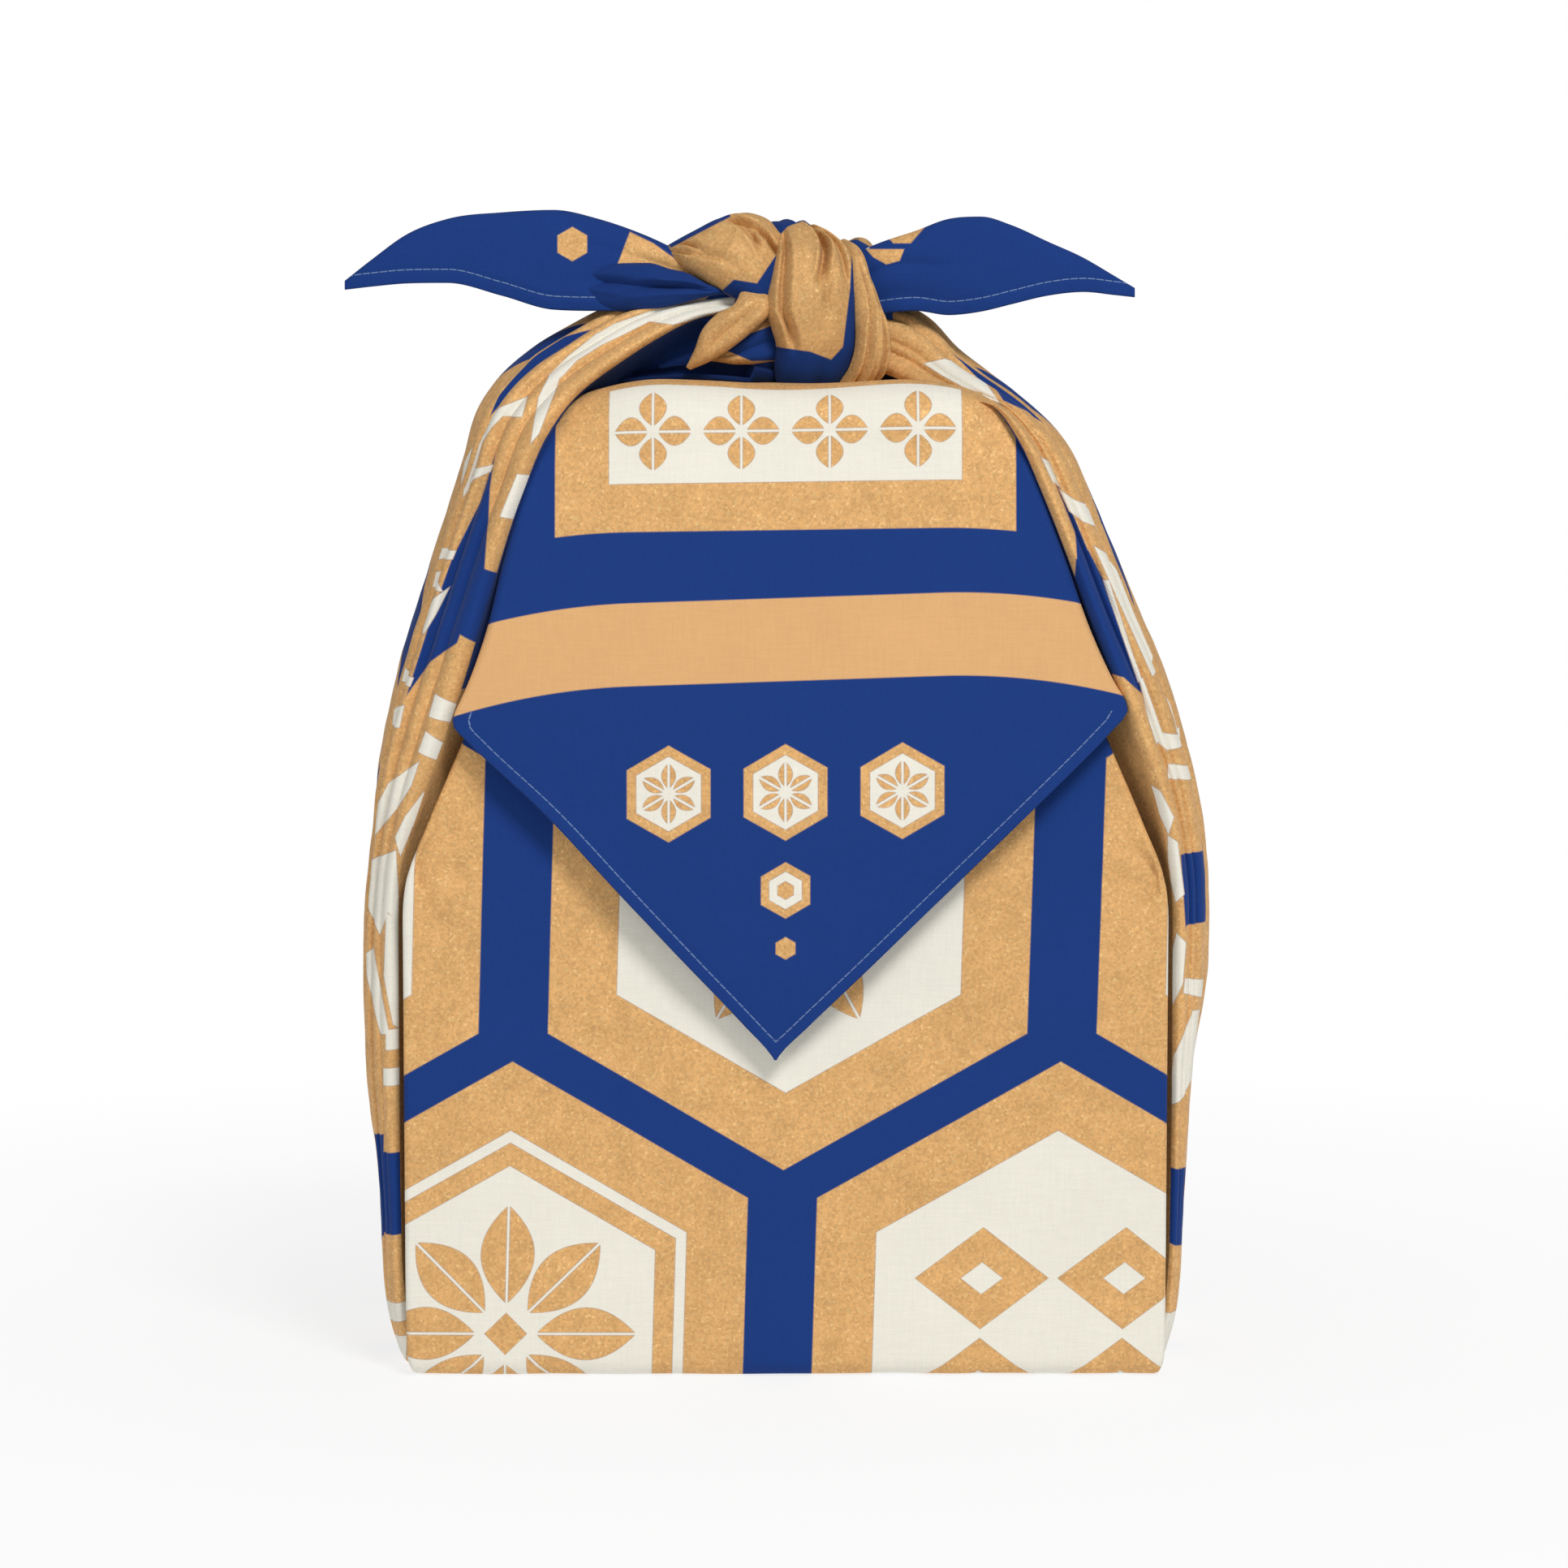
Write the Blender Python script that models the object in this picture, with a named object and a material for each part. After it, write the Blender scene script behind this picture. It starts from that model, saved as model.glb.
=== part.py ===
"""A wrapped and tied furoshiki: one square of printed cotton round an upright bundle.

The cloth stands on its flat base. Its back corner comes over the top and hangs in
front as a flap, its two side corners are gathered up in pleats over the shoulders
and tied in a square knot, and the ends of the knot stand out as two folded ears.
X runs to the right, Y to the back and Z up, with the origin in the middle of the base.
"""

import math
from collections import namedtuple

import bmesh
import bpy
from mathutils import Quaternion, Vector

MM = 0.001

# Driving sizes of the bundle, in millimetres.
PANEL_HALF = 125.5        # half the width of the front panel between its folded edges
BASE_DEPTH = 57.5         # half the depth near the base
TOP_HEIGHT = 322.0        # top of the bundle under the knot
CLOTH = 2.0               # thickness of one layer of cloth
KNOT_CENTRE = Vector((0.0, 4.0, 352.0))
TRIM_DEPTH = 8.0          # how far the parts run below the base before it is cut flat

ARC_STEPS = 29            # points over the pleats of one side
ROW_STEPS = 2             # sections between two rows of a table
FLAP_STEPS = 12           # points across the flap
BAND_STEPS = 16           # points round a band of the knot
EAR_STEPS = 12            # points over the fold of an ear
MERGE = 0.000002          # stray points nearer than this are one, in metres

# Upright bundle: height, half width and half depth of each level section.
CoreRow = namedtuple("CoreRow", "z half_width half_depth corner")
CORE = (
    CoreRow(-TRIM_DEPTH, 117.0, 49.0, 5.0),
    CoreRow(0.0, 122.5, 54.5, 5.0),
    CoreRow(3.5, 125.0, 57.0, 4.0),
    CoreRow(10.0, PANEL_HALF, BASE_DEPTH, 3.0),
    CoreRow(120.0, PANEL_HALF, BASE_DEPTH, 3.0),
    CoreRow(162.0, PANEL_HALF - 0.5, 57.0, 3.0),
    CoreRow(180.0, 118.0, 56.5, 4.0),
    CoreRow(217.0, 103.0, 55.5, 3.0),
    CoreRow(256.0, 89.0, 54.0, 3.0),
    CoreRow(296.0, 77.0, 50.5, 3.0),
    CoreRow(308.0, 74.0, 48.5, 3.0),
    CoreRow(316.0, 71.0, 45.0, 3.0),
    CoreRow(TOP_HEIGHT - 2.0, 64.0, 40.0, 3.0),
)

# Pleated side, from the base up over the shoulder and into the knot. Each row is a
# rib from the front edge over the crown to the back edge; "square" is how boxy the
# rib is, "pleat" how far its folds stand out, "floor" where it closes inside.
GatherRow = namedtuple(
    "GatherRow", "front_x front_y front_z crown_x crown_z floor_x floor_z square pleat")
LEFT_SIDE = (
    GatherRow(120.0, 47.0, -8.0, 127.0, -8.0, 106.0, -8.0, 3.4, 0.0),
    GatherRow(120.5, 50.0, 2.0, 132.5, 2.0, 106.0, 2.0, 3.4, 0.0),
    GatherRow(121.0, 51.5, 16.0, 136.0, 16.0, 106.0, 16.0, 3.2, 0.3),
    GatherRow(121.0, 52.0, 58.0, 138.6, 58.0, 106.0, 58.0, 3.0, 0.7),
    GatherRow(121.0, 52.0, 104.0, 142.6, 104.0, 106.0, 104.0, 2.8, 1.1),
    GatherRow(121.0, 52.0, 140.0, 143.4, 140.0, 105.0, 138.0, 2.7, 1.4),
    GatherRow(120.5, 53.5, 166.0, 140.6, 170.0, 101.0, 164.0, 2.6, 1.8),
    GatherRow(114.0, 60.5, 190.0, 137.4, 194.0, 96.0, 187.0, 2.6, 2.2),
    GatherRow(105.0, 61.5, 217.0, 132.0, 219.0, 88.0, 213.0, 2.5, 2.6),
    GatherRow(92.5, 58.5, 255.0, 121.0, 258.0, 76.0, 250.0, 2.3, 3.0),
    GatherRow(81.0, 55.5, 291.0, 109.0, 297.0, 66.0, 284.0, 2.2, 3.2),
    GatherRow(75.0, 52.5, 311.0, 100.5, 321.0, 60.0, 302.0, 2.1, 3.2),
    GatherRow(66.0, 43.0, 324.0, 87.0, 337.0, 52.0, 312.0, 2.0, 3.0),
    GatherRow(55.5, 32.5, 333.0, 71.5, 345.5, 43.0, 316.0, 2.0, 2.6),
    GatherRow(43.0, 25.0, 341.0, 56.0, 351.0, 33.0, 318.0, 2.0, 2.2),
    GatherRow(30.0, 19.0, 347.5, 39.0, 355.5, 22.0, 320.0, 2.0, 1.6),
    GatherRow(12.0, 13.0, 350.0, 14.0, 360.0, 9.0, 324.0, 2.0, 0.8),
)
RIGHT_SIDE = (
    GatherRow(120.0, 47.0, -8.0, 125.0, -8.0, 106.0, -8.0, 3.4, 0.0),
    GatherRow(120.5, 50.0, 2.0, 130.0, 2.0, 106.0, 2.0, 3.4, 0.0),
    GatherRow(121.0, 51.5, 16.0, 133.0, 16.0, 106.0, 16.0, 3.2, 0.3),
    GatherRow(121.0, 52.0, 60.0, 135.8, 60.0, 106.0, 60.0, 3.0, 0.7),
    GatherRow(121.0, 52.0, 104.0, 139.4, 104.0, 106.0, 104.0, 2.8, 1.1),
    GatherRow(121.0, 52.0, 136.0, 142.8, 136.0, 105.0, 134.0, 2.7, 1.4),
    GatherRow(120.5, 53.5, 162.0, 142.0, 164.0, 101.0, 160.0, 2.6, 1.8),
    GatherRow(117.0, 60.5, 188.0, 138.4, 190.0, 96.0, 185.0, 2.6, 2.2),
    GatherRow(108.0, 61.5, 218.0, 131.4, 219.0, 88.0, 213.0, 2.5, 2.6),
    GatherRow(93.5, 58.5, 256.0, 117.0, 256.0, 76.0, 250.0, 2.3, 3.0),
    GatherRow(82.0, 55.5, 290.0, 102.0, 288.0, 66.0, 284.0, 2.2, 3.0),
    GatherRow(75.5, 52.5, 310.0, 92.5, 307.0, 60.0, 302.0, 2.1, 3.0),
    GatherRow(68.0, 46.0, 322.0, 82.0, 319.5, 54.0, 311.0, 2.0, 2.8),
    GatherRow(57.0, 38.0, 328.0, 70.0, 329.0, 46.0, 315.0, 2.0, 2.6),
    GatherRow(47.0, 31.0, 332.0, 59.0, 337.0, 38.0, 317.0, 2.0, 2.2),
    GatherRow(36.0, 24.0, 337.0, 47.0, 346.0, 29.0, 318.0, 2.0, 1.8),
    GatherRow(13.0, 14.0, 345.0, 18.0, 356.0, 10.0, 322.0, 2.0, 0.8),
)

PLEAT_TROUGH = 0.45       # how far the cloth sinks between pleats, as a share of them
EDGE_RISE = 0.15          # least share of the outward way that a pleat takes at an edge
FLOOR_SHARE = 0.68        # depth of a rib's floor as a share of its edge's depth
RECESS_SHARE = 0.84       # the same for the recess under its edge
RECESS_STEP = 0.3         # where the recess lies on the way from the edge to the floor

# Pleats across a rib, from its front edge (0) to its back edge (1).
Pleat = namedtuple("Pleat", "place height width")
LEFT_PLEATS = (
    Pleat(0.05, 1.1, 0.040), Pleat(0.19, 1.3, 0.050), Pleat(0.34, 0.9, 0.045),
    Pleat(0.50, 1.3, 0.055), Pleat(0.66, 1.0, 0.050), Pleat(0.81, 1.3, 0.045),
    Pleat(0.95, 1.0, 0.040),
)
RIGHT_PLEATS = (
    Pleat(0.05, 1.1, 0.040), Pleat(0.17, 0.9, 0.045), Pleat(0.31, 1.3, 0.050),
    Pleat(0.47, 1.0, 0.050), Pleat(0.63, 1.3, 0.055), Pleat(0.79, 0.9, 0.045),
    Pleat(0.94, 1.2, 0.045),
)

# Flap, from the back of the top over the front edge and down to its point.
# "depth" is how far its back face lies behind its front face.
FlapRow = namedtuple("FlapRow", "y z left right depth")
FLAP = (
    FlapRow(48.5, 298.0, -76.0, 76.0, 6.0),
    FlapRow(50.0, 310.0, -74.0, 74.0, 6.0),
    FlapRow(46.0, 318.5, -73.0, 73.0, 6.0),
    FlapRow(38.0, 322.0, -72.0, 72.0, 6.0),
    FlapRow(15.0, 323.5, -71.5, 71.5, 6.0),
    FlapRow(-15.0, 323.5, -72.0, 72.0, 6.0),
    FlapRow(-38.0, 322.0, -73.5, 73.0, 6.0),
    FlapRow(-46.5, 319.0, -74.5, 74.0, 6.0),
    FlapRow(-50.5, 312.0, -75.6, 75.0, 6.0),
    FlapRow(-53.5, 296.0, -80.7, 80.0, 7.0),
    FlapRow(-57.0, 270.0, -89.0, 89.5, 8.5),
    FlapRow(-60.0, 245.0, -97.2, 99.5, 9.5),
    FlapRow(-62.2, 229.0, -102.6, 106.5, 9.5),
    FlapRow(-63.5, 219.0, -106.0, 111.0, 6.0),
    FlapRow(-64.0, 213.0, -102.0, 106.0, CLOTH),
    FlapRow(-64.6, 190.0, -80.6, 81.6, CLOTH),
    FlapRow(-64.8, 165.0, -57.2, 55.9, CLOTH),
    FlapRow(-64.2, 140.0, -33.9, 30.1, CLOTH),
    FlapRow(-63.2, 118.0, -13.3, 7.5, CLOTH),
    FlapRow(-62.6, 107.4, -4.4, -2.4, CLOTH),
)
FREE_ROWS = 5             # rows of the free point, which has straight hemmed edges
EDGE_ROLL = 3.0           # how far the flap's folded side edges turn back
ROLL_POWER = 12           # the higher, the nearer the edge the turn begins

# Heart of the knot, which its bands wrap: level sections from left to right.
HeartRow = namedtuple("HeartRow", "x half_depth half_height")
HEART = (
    HeartRow(-40.0, 6.0, 6.0),
    HeartRow(-32.0, 12.0, 13.0),
    HeartRow(-18.0, 17.0, 19.0),
    HeartRow(0.0, 20.0, 23.0),
    HeartRow(18.0, 20.0, 22.0),
    HeartRow(31.0, 16.0, 17.0),
    HeartRow(39.0, 8.0, 8.0),
)
HEART_HEIGHT = 349.5      # height of its middle

# Bands of the knot: centre line, half width and half thickness, and how far a band
# is turned about its centre line from facing straight out of the knot, in degrees.
BandRow = namedtuple("BandRow", "x y z half_width half_thick lean")
LEFT_ROOT = (
    BandRow(-48.0, -7.0, 363.0, 10.0, 7.0, 0.0),
    BandRow(-34.0, -11.0, 358.0, 9.0, 6.0, 0.0),
    BandRow(-20.0, -17.0, 353.0, 8.0, 5.0, 0.0),
    BandRow(-6.0, -20.0, 349.5, 8.0, 5.0, 0.0),
    BandRow(6.0, -18.0, 347.0, 7.0, 4.0, 0.0),
)
LEFT_LOBE = (
    BandRow(-24.0, 14.0, 366.0, 10.0, 4.0, -25.0),
    BandRow(-28.0, 4.0, 372.5, 12.5, 4.5, -25.0),
    BandRow(-28.0, -7.0, 371.5, 14.0, 5.0, -15.0),
    BandRow(-24.0, -15.0, 366.5, 15.0, 5.5, -5.0),
    BandRow(-16.0, -20.0, 362.5, 14.5, 5.5, 0.0),
    BandRow(-5.0, -21.0, 360.0, 13.0, 5.0, 0.0),
    BandRow(6.0, -17.0, 358.0, 10.0, 4.0, 0.0),
)
FRONT_LOOP = (
    BandRow(4.0, 12.0, 370.0, 9.0, 4.0, 0.0),
    BandRow(6.0, 0.0, 375.0, 10.0, 4.5, 0.0),
    BandRow(8.0, -13.0, 373.0, 11.0, 5.0, 0.0),
    BandRow(9.0, -22.5, 363.5, 12.5, 6.0, 0.0),
    BandRow(9.5, -26.5, 350.0, 13.5, 6.0, 0.0),
    BandRow(10.0, -24.5, 338.0, 14.0, 6.0, 0.0),
    BandRow(9.0, -17.0, 329.5, 14.0, 5.0, 0.0),
    BandRow(7.0, -5.0, 326.0, 12.0, 4.0, 0.0),
)
SIDE_STRIP = (
    BandRow(12.0, -2.0, 371.0, 6.0, 4.0, 10.0),
    BandRow(20.0, -14.0, 366.0, 7.0, 4.5, 10.0),
    BandRow(25.5, -20.0, 355.0, 8.0, 5.0, 5.0),
    BandRow(27.0, -21.0, 343.0, 8.5, 5.5, 0.0),
    BandRow(22.0, -17.0, 331.5, 9.0, 5.0, 0.0),
    BandRow(12.0, -9.0, 327.5, 8.0, 4.0, 0.0),
)
LOWER_ROLL = (
    BandRow(-68.0, -31.0, 319.0, 5.0, 4.0, 0.0),
    BandRow(-53.0, -26.0, 327.0, 6.5, 5.0, 0.0),
    BandRow(-34.0, -22.0, 330.0, 8.0, 6.0, 0.0),
    BandRow(-14.0, -22.5, 329.5, 8.5, 6.0, 0.0),
    BandRow(6.0, -19.0, 329.5, 8.0, 5.5, 0.0),
    BandRow(20.0, -10.0, 331.0, 6.0, 5.0, 0.0),
)
LEAF_FOLD = (
    BandRow(-4.0, -21.0, 356.0, 5.0, 4.0, 0.0),
    BandRow(-13.0, -24.5, 350.0, 7.0, 4.5, 0.0),
    BandRow(-22.5, -26.5, 342.0, 6.5, 4.5, 0.0),
    BandRow(-30.0, -24.0, 333.0, 3.5, 3.0, 0.0),
)
RIGHT_ROOT = (
    BandRow(14.0, 2.0, 372.0, 6.0, 5.0, 0.0),
    BandRow(25.0, -7.0, 368.5, 9.0, 5.5, 0.0),
    BandRow(33.0, -13.0, 358.0, 10.0, 5.5, 0.0),
    BandRow(36.0, -13.0, 345.0, 9.0, 5.0, 0.0),
    BandRow(32.0, -8.0, 335.0, 6.0, 4.0, 0.0),
)
BACK_LOBE = (
    BandRow(19.0, -5.0, 360.0, 8.0, 4.0, 20.0),
    BandRow(25.0, 5.0, 364.5, 11.0, 5.0, 15.0),
    BandRow(22.0, 16.0, 362.0, 14.0, 5.5, 5.0),
    BandRow(8.0, 22.0, 353.0, 14.0, 5.5, 0.0),
    BandRow(-8.0, 20.0, 348.0, 11.0, 4.5, 0.0),
)
BACK_LOOP = (
    BandRow(-6.0, -8.0, 373.0, 9.0, 4.0, 0.0),
    BandRow(-8.0, 8.0, 373.0, 11.0, 4.5, 0.0),
    BandRow(-10.0, 20.0, 363.0, 13.5, 5.5, 0.0),
    BandRow(-11.0, 25.0, 349.0, 15.0, 6.0, 0.0),
    BandRow(-10.0, 20.0, 335.0, 14.0, 5.5, 0.0),
    BandRow(-8.0, 8.0, 329.0, 12.0, 4.5, 0.0),
)
BAND_FOLDS = 3            # creases across a band of the knot
BAND_FOLD_DEPTH = 0.22    # depth of a crease as a share of the band's half thickness
BAND_FOLD_DRIFT = 0.2     # how fast the creases wander along a band
BAND_SQUARENESS = 0.8     # 1 is an oval section, less is a flatter one

# Ears: the two hemmed corners, folded double along the top and open below.
EarRow = namedtuple("EarRow", "x y top bottom spread")
LEFT_EAR = (
    EarRow(-146.6, -8.0, 360.2, 357.9, 1.6),
    EarRow(-137.0, -9.0, 367.6, 359.0, 3.0),
    EarRow(-126.0, -9.5, 375.4, 360.0, 4.4),
    EarRow(-112.0, -9.5, 380.7, 360.2, 5.6),
    EarRow(-94.0, -9.0, 382.8, 356.0, 6.8),
    EarRow(-77.0, -8.5, 383.6, 351.4, 7.8),
    EarRow(-62.0, -8.0, 380.6, 351.0, 8.4),
    EarRow(-47.0, -7.0, 375.4, 351.0, 9.0),
    EarRow(-33.0, -6.0, 369.0, 349.0, 10.0),
    EarRow(-16.0, -4.0, 362.0, 344.0, 10.0),
)
RIGHT_EAR = (
    EarRow(116.2, -8.0, 357.8, 355.4, 1.6),
    EarRow(109.0, -9.0, 362.0, 356.2, 2.6),
    EarRow(99.0, -9.5, 367.8, 357.2, 3.8),
    EarRow(87.0, -9.5, 373.2, 356.0, 5.0),
    EarRow(75.0, -9.0, 378.6, 353.2, 6.4),
    EarRow(65.0, -8.5, 381.4, 350.8, 7.6),
    EarRow(54.0, -8.0, 380.6, 349.6, 8.4),
    EarRow(43.0, -7.0, 376.6, 351.0, 9.0),
    EarRow(32.0, -6.0, 372.0, 350.0, 10.0),
    EarRow(16.0, -4.0, 364.0, 346.0, 10.0),
)
EAR_WALL = 2.2            # cloth of an ear with its hem
EAR_OPEN_END = 38.0       # the fold is hollow up to this distance from the knot's middle
EAR_LEAST_GAP = 0.8       # and from where its two layers are this far apart
EAR_CUT = 12.0            # how far the hollow is cut past the lower edge
EAR_FULLNESS = 0.7        # 1 is an oval fold, less has straighter sides

COTTON = (0.055, 0.105, 0.290, 1.0)
COTTON_ROUGHNESS = 0.85


def between(rows, steps):
    """Rows of a table with smoothly placed rows added between each two of them."""
    kind = type(rows[0])
    dense = []
    for i in range(len(rows) - 1):
        before = rows[max(i - 1, 0)]
        after = rows[min(i + 2, len(rows) - 1)]
        for k in range(steps):
            t = k / steps
            values = []
            for a, b, c, d in zip(before, rows[i], rows[i + 1], after):
                slope_b = (c - a) / 2.0
                slope_c = (d - b) / 2.0
                values.append(
                    b * (1 + 2 * t) * (1 - t) ** 2 + slope_b * t * (1 - t) ** 2
                    + c * t * t * (3 - 2 * t) + slope_c * t * t * (t - 1))
            dense.append(kind(*values))
    dense.append(rows[-1])
    return dense


def skin(name, rings):
    """Closed triangulated solid through rings of points in millimetres."""
    bm = bmesh.new()
    loops = [[bm.verts.new(Vector(p) * MM) for p in ring] for ring in rings]
    count = len(rings[0])
    for low, high in zip(loops, loops[1:]):
        for k in range(count):
            j = (k + 1) % count
            bm.faces.new((low[k], low[j], high[j], high[k]))
    for loop in (loops[0], loops[-1]):
        middle = bm.verts.new(sum((v.co for v in loop), Vector()) / count)
        for k in range(count):
            bm.faces.new((loop[k], loop[(k + 1) % count], middle))
    bmesh.ops.triangulate(bm, faces=bm.faces[:])
    bmesh.ops.recalc_face_normals(bm, faces=bm.faces[:])
    mesh = bpy.data.meshes.new(name)
    bm.to_mesh(mesh)
    bm.free()
    solid = bpy.data.objects.new(name, mesh)
    bpy.context.scene.collection.objects.link(solid)
    return solid


def combine(base, other, operation):
    """Apply one exact Boolean of the two solids to the first and drop the second."""
    cut = base.modifiers.new(operation.title(), "BOOLEAN")
    cut.operation = operation
    cut.solver = "EXACT"
    cut.object = other
    bpy.context.view_layer.update()
    result = base.evaluated_get(bpy.context.evaluated_depsgraph_get())
    mesh = bpy.data.meshes.new_from_object(result)
    base.modifiers.clear()
    base.data = mesh
    bpy.data.objects.remove(other)


def core():
    """The upright bundle: flat front and back, rounded upright corners."""
    rings = []
    for row in CORE:
        ring = []
        for sign_x, sign_y, start in ((1, 1, 0), (-1, 1, 90), (-1, -1, 180), (1, -1, 270)):
            for turn in (0, 30, 60, 90):
                angle = math.radians(start + turn)
                ring.append((
                    sign_x * (row.half_width - row.corner) + row.corner * math.cos(angle),
                    sign_y * (row.half_depth - row.corner) + row.corner * math.sin(angle),
                    row.z))
        rings.append(ring)
    return skin("core", rings)


def pleat_height(place, pleats):
    """Height of the folds at one place across a rib, as a share of the row's pleat."""
    return sum(p.height * math.exp(-((place - p.place) / p.width) ** 2) for p in pleats)


def signed_power(value, power):
    return math.copysign(abs(value) ** power, value)


def gather(name, rows, pleats, side):
    """One pleated side, from the base over the shoulder into the knot."""
    rings = []
    for row in between(rows, ROW_STEPS):
        middle = Vector((side * row.front_x, 0.0, row.front_z))
        swell = Vector((side * row.crown_x, 0.0, row.crown_z)) - middle
        outward = swell.normalized()
        ring = []
        for k in range(ARC_STEPS + 1):
            place = k / ARC_STEPS
            angle = math.pi * (place - 0.5)
            across = signed_power(math.sin(angle), 2.0 / row.square)
            up = abs(math.cos(angle)) ** (2.0 / row.square)
            normal = (outward * max(up, EDGE_RISE) + Vector((0, across, 0))).normalized()
            fold = row.pleat * (pleat_height(place, pleats) - PLEAT_TROUGH)
            flat = Vector((0, across * row.front_y, 0))
            ring.append(middle + swell * up + flat + normal * fold)
        inner = []
        for edge, depth in ((ring[-1], row.front_y), (ring[0], -row.front_y)):
            floor = Vector((side * row.floor_x, FLOOR_SHARE * depth, row.floor_z))
            recess = edge.lerp(floor, RECESS_STEP)
            recess.y = RECESS_SHARE * edge.y
            inner.append((recess, floor))
        ring += [inner[0][0], inner[0][1], inner[1][1], inner[1][0]]
        rings.append(ring)
    return skin(name, rings)


def flap():
    """The back corner: over the top, down the front, free below its side folds."""
    rows = between(FLAP[:-FREE_ROWS], ROW_STEPS) + list(FLAP[-FREE_ROWS:])
    rings = []
    for i, row in enumerate(rows):
        before = rows[max(i - 1, 0)]
        after = rows[min(i + 1, len(rows) - 1)]
        run = Vector((0.0, after.y - before.y, after.z - before.z)).normalized()
        inside = Vector((0.0, -run.z, run.y))
        edge_roll = EDGE_ROLL if row.depth > CLOTH else 0.0
        front = []
        back = []
        for k in range(FLAP_STEPS + 1):
            spread = math.sin(math.pi * (k / FLAP_STEPS - 0.5))
            x = (row.left + row.right) / 2.0 + spread * (row.right - row.left) / 2.0
            point = Vector((x, row.y, row.z))
            front.append(point + inside * edge_roll * abs(spread) ** ROLL_POWER)
            back.append(point + inside * row.depth)
        rings.append(front + back[::-1])
    return skin("flap", rings)


def band(name, rows):
    """A creased band of the knot along its centre line, facing away from the middle."""
    dense = between(rows, ROW_STEPS)
    centres = [Vector((r.x, r.y, r.z)) for r in dense]
    rings = []
    for i, row in enumerate(dense):
        run = (centres[min(i + 1, len(dense) - 1)] - centres[max(i - 1, 0)]).normalized()
        away = centres[i] - KNOT_CENTRE
        outward = (away - run * away.dot(run)).normalized()
        outward.rotate(Quaternion(run, math.radians(row.lean)))
        sideways = run.cross(outward)
        ring = []
        for k in range(BAND_STEPS):
            angle = 2.0 * math.pi * k / BAND_STEPS
            across = signed_power(math.cos(angle), BAND_SQUARENESS)
            height = signed_power(math.sin(angle), BAND_SQUARENESS)
            wave = BAND_FOLDS * math.pi * across + BAND_FOLD_DRIFT * i
            crease = 1.0 + BAND_FOLD_DEPTH * math.cos(wave)
            ring.append(centres[i] + sideways * (across * row.half_width)
                        + outward * (height * row.half_thick * crease))
        rings.append(ring)
    return skin(name, rings)


def heart():
    """The packed middle of the knot."""
    rings = []
    for row in between(HEART, ROW_STEPS):
        turns = [2.0 * math.pi * k / BAND_STEPS for k in range(BAND_STEPS)]
        rings.append([(row.x, row.half_depth * math.cos(a),
                       HEART_HEIGHT + row.half_height * math.sin(a)) for a in turns])
    return skin("heart", rings)


def ear_ring(row, shrink):
    """Section of a folded corner: rounded at the top, and open past it when shrunk."""
    half = row.spread - shrink
    top = row.top - shrink
    ring = []
    for k in range(EAR_STEPS + 1):
        angle = math.pi * k / EAR_STEPS
        width = half * signed_power(math.cos(angle), EAR_FULLNESS)
        height = (top - row.bottom) * math.sin(angle) ** EAR_FULLNESS
        ring.append((row.x, row.y - width, row.bottom + height))
    if shrink:
        ring += [(row.x, row.y + half, row.bottom - EAR_CUT),
                 (row.x, row.y - half, row.bottom - EAR_CUT)]
    return ring


def ear(name, rows):
    """A hemmed corner of the cloth folded double, open along its lower edge."""
    dense = between(rows, ROW_STEPS)
    leaf = skin(name, [ear_ring(row, 0.0) for row in dense])
    wide = [r for r in dense if r.spread > EAR_WALL + EAR_LEAST_GAP]
    hollow = [ear_ring(r, EAR_WALL) for r in wide if abs(r.x) > EAR_OPEN_END]
    combine(leaf, skin(name + " hollow", hollow), "DIFFERENCE")
    return leaf


def below_base():
    """Block under the base that cuts everything flat at the height of the surface."""
    reach = 2.0 * PANEL_HALF
    corners = [(-reach, -reach), (reach, -reach), (reach, reach), (-reach, reach)]
    cutter = skin("below", [[(x, y, z) for x, y in corners] for z in (-3 * TRIM_DEPTH, 0.0)])
    cutter.display_type = "WIRE"
    cutter.hide_render = True
    return cutter


def shells(bm):
    """The faces of each separate shell of a mesh, largest first."""
    left = set(bm.faces)
    found = []
    while left:
        shell = [left.pop()]
        for face in shell:
            near = {n for edge in face.edges for n in edge.link_faces} & left
            left -= near
            shell += near
        found.append(shell)
    return sorted(found, key=len, reverse=True)


def tidy(solid):
    """Fill pockets closed in between the folds, keep triangles and shade smooth."""
    bm = bmesh.new()
    bm.from_mesh(solid.data)
    bmesh.ops.remove_doubles(bm, verts=bm.verts[:], dist=MERGE)
    bmesh.ops.dissolve_degenerate(bm, edges=bm.edges[:], dist=MERGE)
    bmesh.ops.triangulate(bm, faces=bm.faces[:])
    pockets = [face for shell in shells(bm)[1:] for face in shell]
    bmesh.ops.delete(bm, geom=pockets, context="FACES")
    bm.to_mesh(solid.data)
    bm.free()
    solid.data.shade_smooth()
    solid.data.set_sharp_from_angle(angle=math.radians(40))


def cotton():
    material = bpy.data.materials.new("printed cotton")
    material.use_nodes = True
    shader = material.node_tree.nodes["Principled BSDF"]
    shader.inputs["Base Color"].default_value = COTTON
    shader.inputs["Roughness"].default_value = COTTON_ROUGHNESS
    shader.inputs["Metallic"].default_value = 0.0
    return material


for old in list(bpy.data.objects):
    bpy.data.objects.remove(old)

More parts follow.
